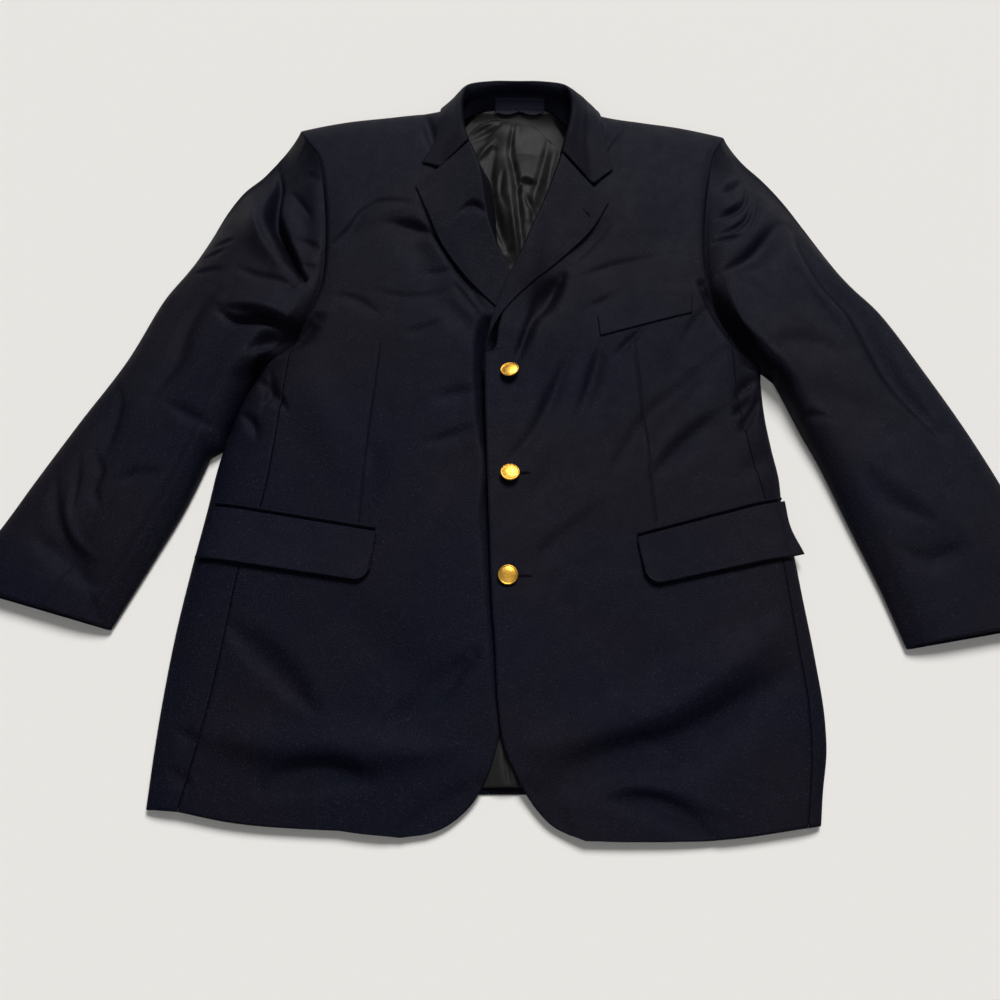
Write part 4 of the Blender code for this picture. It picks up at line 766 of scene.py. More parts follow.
def add_grain(mesh, across, along, copies):
    """A UV map in metres along and across the cloth's grain, for so many copies of its points."""
    count = across.size
    uv = np.zeros((len(mesh.vertices), 2), np.float32)
    uv[:copies * count] = np.tile(np.stack([across.ravel(), along.ravel()], axis=-1) * MM, (copies, 1))
    corner = np.empty(len(mesh.loops), np.int32)
    mesh.loops.foreach_get("vertex_index", corner)
    mesh.uv_layers.new(name="grain").data.foreach_set("uv", uv[corner].ravel())


def cloth(name, outer, thickness, material, normals=None):
    """The fine wall that stands for a CAD panel: a grid of points thickened against its normals.

    The normals are those that face up, where none are given.
    """
    normals = grid_normals(outer, (0, 0, 1)) if normals is None else normals
    rows, columns, _ = outer.shape
    count = rows * columns
    index = np.arange(count).reshape(rows, columns)
    rim = np.concatenate([index[:-1, 0], index[-1, :-1], index[:0:-1, -1], index[0, :0:-1]])
    middle = (outer - normals * thickness / 2).reshape(-1, 3)[rim]
    inner = outer - normals * thickness
    layers = [pulled_in(layer, thickness * RIM_ROUND).reshape(-1, 3) for layer in (outer, inner)]
    points = np.concatenate([*layers, middle])
    points[:, 2] = np.maximum(points[:, 2], 0)
    top = np.stack([index[:-1, :-1], index[1:, :-1], index[1:, 1:], index[:-1, 1:]], axis=-1).reshape(-1, 4)
    ring = 2 * count + np.arange(len(rim))
    rim_next, ring_next = np.roll(rim, -1), np.roll(ring, -1)
    sides = np.concatenate([
        np.stack([rim_next, rim, ring, ring_next], axis=-1),
        np.stack([ring_next, ring, rim + count, rim_next + count], axis=-1),
    ])
    i, j = rows // 2, columns // 2
    facing = np.cross(outer[i, j] - outer[i - 1, j], outer[i, j] - outer[i, j - 1])
    faces = np.concatenate([top, top[:, ::-1] + count, sides])
    if facing @ normals[i, j] < 0:
        faces = faces[:, ::-1]
    piece = add_piece(name, "cloth", in_frame(points), faces.tolist(), material)
    across, along = arc(outer, 1), arc(outer, 0)
    width, length = across[:, -1:], along[-1:]
    add_grain(piece.data, across - width / 2, along, 2)


def with_height(plan, heights):
    return np.concatenate([plan, np.asarray(heights)[..., None]], axis=-1)


def out_curve(side, rows):
    """A curve through (out, y) rows, as x and y."""
    return Curve([(SIGN[side] * out, y) for out, y in rows])


def beside(plan, distance):
    """Plan points moved to the left of their direction."""
    ahead = unit(np.gradient(plan, axis=0))
    return plan + distance * np.stack([-ahead[:, 1], ahead[:, 0]], axis=-1)


def shoulder_point(x, angle):
    """The outer face over the shoulder, at an angle above its outermost line."""
    x = np.asarray(x, float)
    angle = np.radians(angle)
    inward = np.where(angle > 0, SHOULDER_REACH, SHOULDER_TURN) * (1 - np.cos(angle))
    y = smooth(SHOULDER_OUT, x) - inward
    over = (smooth(LOFT, y) - SHOULDER_MID) * np.sin(np.maximum(angle, 0))
    under = SHOULDER_MID * np.sin(np.minimum(angle, 0))
    return np.stack([x, y, SHOULDER_MID + over + under], axis=-1)


def shoulder_normal(x, angle):
    angle = np.radians(angle) + 0 * x
    depth = np.where(angle > 0, SHOULDER_REACH, SHOULDER_TURN)
    height = np.where(angle > 0, smooth(LOFT, SHOULDER_Y) - SHOULDER_MID, SHOULDER_MID)
    along_y, along_z = np.cos(angle) / depth, np.sin(angle) / height
    slope = (smooth(SHOULDER_OUT, x + 1) - smooth(SHOULDER_OUT, x - 1)) / 2
    return unit(np.stack([-slope * along_y, along_y, along_z], axis=-1))


def curl_angles(x):
    """Angle of the back's upper edge at x: the neck seam in the middle and the shoulder seam beside it."""
    share = ramp(np.abs(x - NECK_CENTRE), NECK_HALF, NECK_HALF + NECK_SPREAD)
    return NECK_EDGE_ANGLE + (SHOULDER_SEAM_ANGLE - NECK_EDGE_ANGLE) * eased(share)


class Armhole:
    """The points that body and sleeve share, from the shoulder seam down each way to the underarm."""

    def __init__(self, side):
        sign = SIGN[side]
        front = out_curve(side, ARMHOLE_FRONT[side])
        back = out_curve(side, ARMHOLE_BACK[side])
        top, under = FRONT_SEAM_TOP[side], BACK_SEAM_TOP[side]
        past = 1 - (1 - top) * np.array([*SIDE_TOP[1:], 0])
        shares = np.concatenate([np.linspace(0, top, ARMHOLE_ROWS), past])
        plan = front.at(shares)
        over = with_height(plan, body_top(plan[:, 0], plan[:, 1]))
        over[0] = shoulder_point(plan[0, 0], SHOULDER_SEAM_ANGLE)
        inside = plan - np.array([sign * ARMHOLE_INSET, 0])
        over_normals = surface_normals(body_top, inside[:, 0], inside[:, 1])
        over_normals[-1] = unit(np.array([sign, 1, 1]) * UNDERARM_OVER)
        past = 1 - (1 - under) * np.array(SIDE_UNDER[-2::-1])
        shares = np.concatenate([np.linspace(0, under, ARMHOLE_BACK_ROWS), past])
        plan = back.at(shares)
        below = with_height(plan, body_under(plan[:, 0], plan[:, 1]))
        below_normals = np.tile([0.0, 0.0, -1.0], (len(plan), 1))
        below_normals[-1] = unit(np.array([sign, 1, 1]) * UNDERARM_BELOW)
        angles = -90 + (SHOULDER_SEAM_ANGLE + 90) * np.array(CURL_SHARES[1:-1])
        x = np.linspace(below[0, 0], over[0, 0], len(CURL_SHARES))[1:-1]
        curl, curl_normals = shoulder_point(x, angles), shoulder_normal(x, angles)
        below[0] = shoulder_point(below[0, 0], -90)
        over_normals[0] = shoulder_normal(over[0, 0], SHOULDER_SEAM_ANGLE)
        # One loop: up the back's curl, over the shoulder, down the front and back underneath.
        self.points = np.vstack([below[:1], curl, over, below[:0:-1]])
        self.normals = np.vstack([below_normals[:1], curl_normals, over_normals, below_normals[:0:-1]])
        around = np.roll(self.points, -1, axis=0) - np.roll(self.points, 1, axis=0)
        apart = unit(np.cross(around, self.normals))
        self.apart = apart * np.where(apart[:, :1] * sign + apart[:, 1:2] * APART_UP < 0, -1, 1)
        self.shoulder = len(CURL_SHARES) - 1
        self.corner = self.shoulder + ARMHOLE_ROWS - 1
        self.underarm = self.corner + len(SIDE_TOP)
        self.back_corner = self.underarm + len(SIDE_UNDER)

    def edge(self, first, last, away):
        """Points and normals from one place to another, on the body's (-1) or the sleeve's (1) side."""
        index = np.arange(first, last + 1) if last >= first else np.arange(first, last - 1, -1)
        index = index % len(self.points)
        return self.points[index] + away * SEAM / 2 * self.apart[index], self.normals[index]


def long_seam(side, table, hem_y, top, away):
    """Points of a seam of the side panel from the hem up to its end on the armhole."""
    y = np.linspace(hem_y, top[1], SEAM_POINTS)
    out = smooth(table, y)
    out += (abs(top[0]) - out[-1]) * ramp(y, SEAM_BEND, top[1]) ** 2
    line = Curve(np.stack([SIGN[side] * out, y], axis=-1)).at(np.linspace(0, 1, SEAM_ROWS))
    return beside(line, away * SIGN[side] * SEAM / 2)


def back_hem(x):
    return BACK_HEM_Y - BACK_HEM_DROP * (x / BACK_HEM_HALF) ** 2


BACK_SEAM_HEM = float(back_hem(BACK_SEAM[0][1]))


def front_columns(side, inner, outer):
    """Shares across a front with one column on its dart, which column that is, and its depth in each row."""
    line = np.array(DART[side][::-1], float)
    y = (inner[:, 1] + outer[:, 1]) / 2
    for _ in range(DART_STEPS):
        inside = np.clip(y, line[0, 1], line[-1, 1])
        share = (np.interp(inside, line[:, 1], line[:, 0]) - inner[:, 0]) / (outer[:, 0] - inner[:, 0])
        y = inner[:, 1] * (1 - share) + outer[:, 1] * share
    column = int(round(share.mean() * (FRONT_COLUMNS - 1)))
    groove = DART_GROOVE / np.linalg.norm(outer - inner, axis=1)
    before = np.linspace(0, share - groove, column, axis=1)
    after = np.linspace(share + groove, 1, FRONT_COLUMNS - column - 1, axis=1)
    ends = np.clip((line[-1, 1] - y) / DART_END, 0, 1) * np.clip((y - line[0, 1]) / DART_END, 0, 1)
    across = np.concatenate([before, share[:, None], after], axis=1)
    return across[..., None], column, DART_DEPTH * ends


def front(side, armhole, material):
    """A front panel, from the hem to the shoulder seam and from its edge to side seam and armhole."""
    arm, arm_normals = armhole.edge(armhole.corner, armhole.shoulder, -1)
    hem = out_curve(side, HEM[side])
    seam = long_seam(side, FRONT_SEAM[side], hem.line[-1][1], armhole.points[armhole.corner], 1)
    outer = np.vstack([seam[:-1], arm[:, :2]])
    edge = Curve(FRONT_EDGE[side])
    high = Curve([FRONT_EDGE[side][-1], *front_neck(side)])
    above = np.linspace(0, 1, len(outer) - FRONT_LOW_ROWS + 1)[1:]
    inner = np.vstack([edge.at(np.linspace(0, 1, FRONT_LOW_ROWS) ** FRONT_CROWD), high.at(above)])
    across, dart_column, dart_depth = front_columns(side, inner, outer)
    plan = inner[:, None] * (1 - across) + outer[:, None] * across
    share = np.linspace(0, 1, len(plan))[:, None]
    hem_row = hem.at(np.linspace(0, 1, FRONT_COLUMNS))
    plan[:, :, 1] += (1 - share) ** HEM_FADE * (hem_row[:, 1] - plan[0, :, 1])
    # The rows of the top third bend to the shoulder seam.
    top_row = shoulder_point(plan[-1, :, 0], SHOULDER_SEAM_ANGLE)
    plan[:, :, 1] += np.clip(share * 3 - 2, 0, 1) * (top_row[:, 1] - SEAM / 2 - plan[-1, :, 1])

    def height(x, y):
        return front_top(side, x, y)

    grid = with_height(plan, height(plan[..., 0], plan[..., 1]))
    normals = surface_normals(height, plan[..., 0], plan[..., 1])
    grid[:, dart_column, 2] -= dart_depth
    grid[len(seam) - 1:-1, -1] = arm[:-1]
    normals[len(seam) - 1:, -1] = arm_normals
    normals[-1] = shoulder_normal(plan[-1, :, 0], SHOULDER_SEAM_ANGLE)
    cloth(f"front_{side}", grid, WOOL, material, normals)


def front_neck(side):
    """Where the front's own edge lies inside the fold of lapel and collar, up to the shoulder seam."""
    return [*[(x + FRONT_INSET * SIGN[side], y) for x, y in LAPEL_ROLL[side]], *FRONT_NECK[side]]


def side_panel(side, armhole, material):
    """A side panel, from the back seam underneath round the fold to the front seam."""
    sign = SIGN[side]
    hem_y = HEM[side][-1][1]
    front_seam = long_seam(side, FRONT_SEAM[side], hem_y, armhole.points[armhole.corner], -1)
    back_corner = armhole.points[armhole.back_corner]
    back_seam = long_seam(side, BACK_SEAM, BACK_SEAM_HEM, back_corner, -1)
    fold_y = np.linspace(SIDE_HEM[side], armhole.points[armhole.underarm][1], SEAM_POINTS)
    fold = Curve(np.stack([sign * smooth(SIDE_EDGE[side], fold_y), fold_y], axis=-1))
    fold = fold.at(np.linspace(0, 1, SEAM_ROWS))
    arm, arm_normals = armhole.edge(armhole.corner, armhole.back_corner, -1)
    over = np.array([*SIDE_TOP, 0.0])[None, :, None]
    under = np.array(SIDE_UNDER)[None, :, None]
    plan = np.concatenate([
        fold[:, None] * (1 - over) + front_seam[:, None] * over,
        fold[:, None] * (1 - under) + back_seam[:, None] * under,
    ], axis=1)
    share = np.linspace(0, 1, SEAM_ROWS)[:, None, None]
    plan += share**SIDE_FADE * (arm[:, :2] - plan[-1])
    x, y = plan[..., 0], plan[..., 1]
    heights = np.where(np.arange(plan.shape[1]) < len(SIDE_TOP) + 1, body_top(x, y), body_under(x, y))
    heights[:, len(SIDE_TOP)] = FOLD_MID
    grid = with_height(plan, heights)
    grid[-1] = arm
    normals = grid_normals(grid, (sign, 0, 0))
    normals[-1] = arm_normals
    normals[:-1, 0] = surface_normals(body_top, x[:-1, 0], y[:-1, 0])
    normals[:, -1] = (0, 0, -1)
    cloth(f"side_{side}", grid, WOOL, material, normals)


def back(side, armhole, material):
    """Half of the back, flat on the table and curled up to the neck and shoulder seams."""
    sign = SIGN[side]
    seam = long_seam(side, BACK_SEAM, BACK_SEAM_HEM, armhole.points[armhole.back_corner], 1)
    flat, _ = armhole.edge(armhole.back_corner, len(armhole.points), -1)
    curl, curl_normals = armhole.edge(0, armhole.shoulder, -1)
    outer = np.vstack([seam[:-1], flat[:, :2]])
    start_x = float(smooth(CENTRE_BACK, BACK_NECK_Y)) + sign * SEAM / 2
    y = np.linspace(float(back_hem(0)), float(shoulder_point(start_x, -90)[1]), len(outer))
    inner = np.stack([smooth(CENTRE_BACK, y) + sign * SEAM / 2, y], axis=-1)
    across = np.array(BACK_COLUMNS)[None, :, None]
    plan = inner[:, None] * (1 - across) + outer[:, None] * across
    share = np.linspace(0, 1, len(plan))[:, None]
    plan[:, :, 1] += (1 - share) ** HEM_FADE * (back_hem(plan[0, :, 0]) - plan[0, :, 1])
    # The rows of the top two fifths bend to the shoulders' outermost line.
    bend = shoulder_point(plan[-1, :, 0], -90)[:, 1] - plan[-1, :, 1]
    plan[:, :, 1] += np.clip(share * 2.5 - 1.5, 0, 1) ** 2 * bend
    grid = with_height(plan, creases(LOW_CREASES, plan[..., 0], plan[..., 1]))
    normals = np.zeros_like(grid)
    normals[..., 2] = -1
    rows, row_normals = [grid], [normals]
    for i, part in enumerate(CURL_SHARES[1:], 1):
        x = plan[-1, :, 0] + (curl[i, 0] - plan[-1, -1, 0]) * np.array(BACK_COLUMNS)
        ends = curl_angles(x)
        angles = -90 + (ends + 90) * part
        if part == 1:
            angles -= np.where(ends > 0, math.degrees(SEAM / SHOULDER_REACH), 0)
        row, normal = shoulder_point(x, angles), shoulder_normal(x, angles)
        if i < len(CURL_SHARES) - 1:
            row[-1], normal[-1] = curl[i], curl_normals[i]
        rows.append(row[None])
        row_normals.append(normal[None])
    cloth(f"back_{side}", np.concatenate(rows), WOOL, material, np.concatenate(row_normals))


def sleeve(side, armhole, material):
    """Upper and under sleeve: a flattened tube from the armhole's own points down to the cuff."""
    sign = SIGN[side]
    outer_fold = armhole.shoulder - 1  # the loop's place on the shoulder's outermost line
    count = len(armhole.points)
    loop, loop_normals = armhole.edge(outer_fold, outer_fold + count, 1)
    top_count = armhole.underarm - outer_fold
    over = (1 - np.cos(np.linspace(0, math.pi, top_count + 1))) / 2
    under = (1 - np.cos(np.linspace(math.pi, 0, count - top_count + 1))) / 2
    place = np.concatenate([over, under[1:]])
    outside, inside = out_curve(side, SLEEVE_OUTER[side]), out_curve(side, SLEEVE_INNER[side])
    t = np.array(SLEEVE_ROWS)
    o, i = outside.at(t), inside.at(t)
    start = (1 - np.clip(t / CAP_START, 0, 1))[:, None]
    o = o + start * (loop[0, :2] - o[0])
    i = i + start * (loop[top_count, :2] - i[0])
    straight = o[:, None] * (1 - place[None, :, None]) + i[:, None] * place[None, :, None]
    s = np.clip(t[:, None] / (CAP_BLEND * (1 - CAP_BLEND_LESS * place**4)), 0, 1)[..., None]
    plan = straight + (1 - eased(s)) * (loop[:, :2] - straight[0])
    lips = [ramp(place, begins, 1) ** power for begins, power in (LIP_TOP, LIP_UNDER)]
    lip = np.where(np.arange(count + 1) < top_count, *lips)
    reach_y, reach_in = np.array(UNDERARM_REACH[side]).T
    reach = np.interp(i[:, 1], reach_y, reach_in)[:, None] * np.array([-sign, 0])
    plan = plan + reach[:, None] * lip[None, :, None]
    width = np.linalg.norm(o - i, axis=1)[:, None]
    from_outer, from_inner = place * width, (1 - place) * width
    form = rounding(from_outer, np.minimum(ELBOW_REACH, width / 2))
    form = form * rounding(from_inner, np.minimum(INNER_REACH, width / 2))
    loft = smooth(SLEEVE_LOFT, t)[:, None]
    top = FOLD_MID + (loft - FOLD_MID + laid(loft, plan[..., 0], plan[..., 1], 1.0)) * form
    bottom = FOLD_MID * (2 - rounding(from_outer, FOLD_TURN) - rounding(from_inner, FOLD_TURN))
    bottom = bottom + creases(LOW_CREASES, plan[..., 0], plan[..., 1])
    heights = np.where(np.arange(count + 1) <= top_count, top, bottom)
    near = (1 - np.clip(t / CAP_MATCH, 0, 1))[:, None] ** 2
    heights = heights * (1 - near) + loop[:, 2] * near
    grid = with_height(plan, heights)
    ring = np.concatenate([grid[:, -2:-1], grid, grid[:, 1:2]], axis=1)
    normals = grid_normals(ring, (0, 0, 1))[:, 1:-1]
    middle = normals[len(t) // 2, top_count // 2]
    normals = normals if middle[2] > 0 else -normals
    normals[0] = loop_normals
    outer_seam, inner_seam = count - SLEEVE_SEAMS[0], top_count + SLEEVE_SEAMS[1]
    upper_index = np.concatenate([np.arange(outer_seam, count), np.arange(0, inner_seam + 1)])
    under_index = np.arange(inner_seam, outer_seam + 1)
    for name, index in (("upper", upper_index), ("under", under_index)):
        part, part_normals = grid[:, index].copy(), normals[:, index]
        part[:, 0] += SEAM / 2 * unit(part[:, 1] - part[:, 0])
        part[:, -1] += SEAM / 2 * unit(part[:, -2] - part[:, -1])
        cloth(f"sleeve_{name}_{side}", part, WOOL, material, part_normals)


def lapel_grid(side):
    """The facing of a lapel: round the roll from inside and out over the front to the free edge."""
    share = np.linspace(0, 1, LAPEL_ROWS)
    roll, edge = Curve(LAPEL_ROLL[side]).at(share), Curve(LAPEL_EDGE[side]).at(share)
    width = np.linalg.norm(edge - roll, axis=1)
    across = unit(edge - roll)
    lift, foot = smooth(ROLL_LIFT, share), smooth(ROLL_FOOT, share)
    reach = np.minimum(smooth(ROLL_ROUND, share), width * ROLL_MOST)
    rest = LAY + FACING
    hang = np.interp(share, *np.array(ROLL_HANG[side]).T)
    away, high = [-np.maximum(hang, 1) * part for part in HANG_COLUMNS], [foot] * len(HANG_COLUMNS)
    for angle in ROLL_ANGLES:
        turn = math.radians(angle)
        middle = (lift + foot) / 2
        away.append(reach * (1 - math.cos(turn)) * (0 if angle == -90 else 1))
        high.append(foot if angle == -90 else middle + (lift - foot) / 2 * math.sin(turn))
    for part in LAPEL_COLUMNS:
        away.append(reach + (width - reach) * part)
        high.append(rest + (lift - rest) * (1 - part) ** 2)
    away, high = np.stack(away, axis=1), np.stack(high, axis=1)
    plan = roll[:, None] + across[:, None] * away[..., None]
    x, y = plan[..., 0], plan[..., 1]
    dents = creases(DENTS, x, y) if side == "right" else 0
    z = bridged(side, x, y) + high + dents * np.clip(away / LAPEL_DENT_FROM, 0, 1)
    last = len(HANG_COLUMNS)
    sink = HANG_COLUMNS * np.clip(hang / HANG_FULL, 0, 1)[:, None]
    over_lining = lining_top(x[:, :last], y[:, :last]) + FACING + LAY
    z[:, :last] = z[:, last:last + 1] * (1 - sink) + over_lining * sink
    return with_height(plan, z)


def collar_grid():
    """Collar sections with more points, the two end ones straight from roll to notch to corner."""
    sections = []
    for number, section in enumerate(COLLAR):
        p = np.array(section, float)
        if number in (0, len(COLLAR) - 1):
            fall = [p[2] * (1 - t) + p[3] * t for t in COLLAR_FALL] + [(p[3] + p[4]) / 2, p[4]]
            turn = Curve(p[:3]).at(COLLAR_TURN)
        else:
            whole = Curve(p)
            at = whole.share[:: Curve.STEPS]
            down = [at[2] + (at[3] - at[2]) * t for t in COLLAR_FALL]
            fall = whole.at(np.array([*down, (at[3] + 1) / 2, 1]))
            turn = whole.at(np.array([0, at[1] * 0.6, at[1], (at[1] + at[2]) / 2]))
        sections.append(np.vstack([turn, fall]))
    sections = np.array(sections)
    along = np.linspace(0, 1, COLLAR_ROWS)
    grid = np.stack([Curve(sections[:, c]).at(along) for c in range(sections.shape[1])], axis=1)
    x, y, z = np.moveaxis(grid[:, COLLAR_FIRST:], -1, 0)
    on_front = y < smooth(SHOULDER_OUT, x) - COLLAR_BACK
    clear = np.where(on_front, body_top(x, y, BRIDGED_DEPTH) + LAY + FACING + COLLAR_CLEAR, 0)
    grid[:, COLLAR_FIRST:, 2] = np.maximum(z, clear)
    return denser(grid, COLLAR_PARTS)


def collar_stand(material):
    """The band behind the neck, from its foot up to the collar's seam."""
    top = Curve([section[0] for section in COLLAR])
    rows = np.linspace(0, 1, STAND_ROWS)
    upper = top.at(STAND_SPAN[0] + (STAND_SPAN[1] - STAND_SPAN[0]) * rows)
    foot = Curve(STAND_FOOT).at(rows)
    outwards = unit(upper[:, :2] - np.array([NECK_CENTRE, SHOULDER_Y]))
    upper = upper + np.hstack([outwards * STAND_BEHIND, np.full((len(rows), 1), STAND_UP)])
    grid = foot[:, None] + (upper - foot)[:, None] * np.linspace(0, 1, STAND_COLUMNS)[None, :, None]
    cloth("collar_stand", grid, FACING, material, grid_normals(grid, (0, -1, 0.6)))


def lining_top(x, y):
    """Height of the back lining's face, over the back."""
    base = body_under(x, y) * LINING_OFF + WOOL + LAY + LINING
    fade = 1 - np.clip((y - LINING_FADE) / LINING_FADES, 0, 1)
    return base + np.maximum(0, (LINING_SWELL + creases(BACK_LINING_CREASES, x, y)) * fade)


def lining(material):
    """The back lining, where the neck opening and the gap between the front corners show it."""
    low = finer(LINING_ROWS[:-1], LINING_PARTS)[:-1]
    y = np.concatenate([low, np.linspace(*LINING_ROWS[-2:], LINING_TOP_ROWS)])
    middle, half = smooth(CENTRE_BACK, y), smooth(LINING_HALF, y)
    across = np.linspace(-1, 1, LINING_COLUMNS)
    x = middle[:, None] + half[:, None] * across
    y = np.repeat(y[:, None], len(across), axis=1)
    grid = np.stack([x, y, lining_top(x, y)], axis=-1)
    cloth("lining_back", grid, LINING, material, surface_normals(lining_top, x, y))


def label(material):
    """The neck label, on the collar stand, with its lower edge in two lobes over the lining's top."""
    across, down = np.linspace(0, 1, LABEL_COLUMNS), np.linspace(0, 1, LABEL_ROWS)
    x = LABEL_SIDES[0] + (LABEL_SIDES[1] - LABEL_SIDES[0]) * across
    end = 1 - LABEL_SCALLOP * (1 - np.abs(np.sin(2 * math.pi * across)))
    path = Curve(LABEL_PATH).at(end[:, None] * down)
    x = np.repeat(x[:, None], len(down), axis=1)
    y = path[..., 0] - ((x - NECK_CENTRE) / LABEL_BEND) ** 2
    cloth("label", np.stack([x, y, path[..., 1]], axis=-1), LABEL_CLOTH, material)


def on_body(side, plan, lift):
    """Plan points laid on the body's top, held level beyond the rounding of the side fold."""
    x, y = plan[..., 0], plan[..., 1]
    edge = smooth(SIDE_EDGE[side], y) - FLAP_FROM_FOLD
    return with_height(plan, bridged(side, np.clip(x, -edge, edge), y) + lift)


def flap(side, material):
    """A hip pocket flap, with a rounded lower front corner."""
    front_top_corner, front_foot, back_foot, back_top = np.array(FLAP[side], float)
    length = np.linalg.norm(back_top - front_top_corner)
    turn = FLAP_CORNER / length
    corner = turn * (1 - np.cos(np.linspace(0, math.pi / 2, FLAP_CORNER_COLUMNS)))
    columns = np.concatenate([corner, np.linspace(turn, 1, FLAP_COLUMNS)[1:]])
    cut = FLAP_CORNER * (1 - np.sqrt(1 - (1 - np.clip(columns / turn, 0, 1)) ** 2))
    down = np.linspace(0, 1, FLAP_ROWS)
    upper = front_top_corner + (back_top - front_top_corner) * columns[:, None]
    lower = front_foot + (back_foot - front_foot) * columns[:, None]
    depth = np.linalg.norm(lower - upper, axis=1)
    lower = upper + (lower - upper) * (1 - cut / depth)[:, None]
    plan = upper[:, None] + (lower - upper)[:, None] * down[None, :, None]
    bow = SIGN[side] * FLAP_BOW[side] * columns[:, None] ** FLAP_BOW_ALONG
    plan[..., 0] -= bow * np.sin(math.pi * down) ** FLAP_BOW_DOWN
    grid = on_body(side, plan, LAY + FLAP_CLOTH + FLAP_LIFT * down**2)
    cloth(f"flap_{side}", grid, FLAP_CLOTH, material)


def jet(side, material):
    """The piping along the pocket mouth over a flap."""
    start, _, _, end = np.array(FLAP[side], float)
    along = unit(end - start)
    up = np.array([-along[1], along[0]]) * (1 if along[0] > 0 else -1)
    line = start + (end - start) * np.linspace(*JET_SPAN, JET_COLUMNS)[:, None]
    plan = line[:, None] + up * np.linspace(JET_GAP, SEAM + JET, JET_ROWS)[None, :, None]
    bead = JET_BEAD * np.sin(math.pi * np.linspace(0, 1, JET_ROWS))
    cloth(f"jet_{side}", on_body(side, plan, LAY + FACING + bead), FACING, material)


def chest_welt(material):
    """The chest pocket's welt, a strip lying on the left front."""
    a, b, c, d = np.array(CHEST_WELT, float)
    along, up = np.linspace(0, 1, WELT_COLUMNS)[:, None, None], np.linspace(0, 1, WELT_ROWS)[None, :, None]
    plan = (a * (1 - along) + b * along) * (1 - up) + (d * (1 - along) + c * along) * up
    grid = with_height(plan, bridged("left", plan[..., 0], plan[..., 1]) + WELT_RISE)
    cloth("chest_welt", grid, FACING, material)


def button(number, x, y, lean, tip, material):
    """A domed button turned from its profile, on a shank."""
    radii, heights = Curve(BUTTON_PROFILE[1:-1]).line[::2].T
    turn = np.linspace(0, 2 * math.pi, BUTTON_SEGMENTS, endpoint=False)
    ring = np.stack([np.cos(turn), np.sin(turn)], axis=-1)
    points = [(0, 0, heights[0])]
    for radius, height in zip(radii, heights):
        points += [(radius * a, radius * b, height) for a, b in ring]
    points.append((0, 0, BUTTON_PROFILE[-1][1]))
    faces = []
    last = 1 + (len(radii) - 1) * BUTTON_SEGMENTS
    for i in range(BUTTON_SEGMENTS):
        j = (i + 1) % BUTTON_SEGMENTS
        faces.append((0, 1 + j, 1 + i))
        for low in range(1, last, BUTTON_SEGMENTS):
            high = low + BUTTON_SEGMENTS
            faces.append((low + i, low + j, high + j, high + i))
        faces.append((last + i, last + j, len(points) - 1))
    points = [(a * MM, b * MM, c * MM) for a, b, c in points]
    base = float(bridged("left", np.array(x), np.array(y))) + BUTTON_UP
    turned = (math.radians(-lean), math.radians(-tip), 0)
    add_piece(f"button_{number}", "dome", points, faces, material, in_frame((x, y, base)), turned)


def buttonhole(name, start, end, rise, material):
    """The worked edge of a buttonhole: a thread round a narrow slot, lying on the cloth."""
    start, end = np.array(start, float), np.array(end, float)
    along = unit(end - start)
    across = np.array([-along[1], along[0]])
    half = np.linalg.norm(end - start) / 2
    loop = np.linspace(0, 2 * math.pi, HOLE_SEGMENTS, endpoint=False)
    tube = np.linspace(0, 2 * math.pi, THREAD_SEGMENTS, endpoint=False)
    turned, side = np.cos(loop)[:, None], np.sin(loop)[:, None]
    middle = (start + end) / 2 + half * turned * along + HOLE_HALF * side * across
    out = unit(turned / half * along + side / HOLE_HALF * across)
    plan = middle[:, None] + HOLE_THREAD * np.cos(tube)[None, :, None] * out[:, None]
    top = bridged if rise else front_top
    height = top("left", middle[:, 0], middle[:, 1]) + rise
    z = height[:, None] + HOLE_THREAD * (THREAD_UP + np.sin(tube))
    points = with_height(plan, z).reshape(-1, 3)
    index = np.arange(len(points)).reshape(len(loop), len(tube))
    after, above = np.roll(index, -1, axis=0), np.roll(index, -1, axis=1)
    faces = np.stack([index, after, np.roll(after, -1, axis=1), above], axis=-1).reshape(-1, 4)
    piece = add_piece(name, "thread", in_frame(points), faces.tolist(), material)
    add_grain(piece.data, plan[..., 0], plan[..., 1], 1)


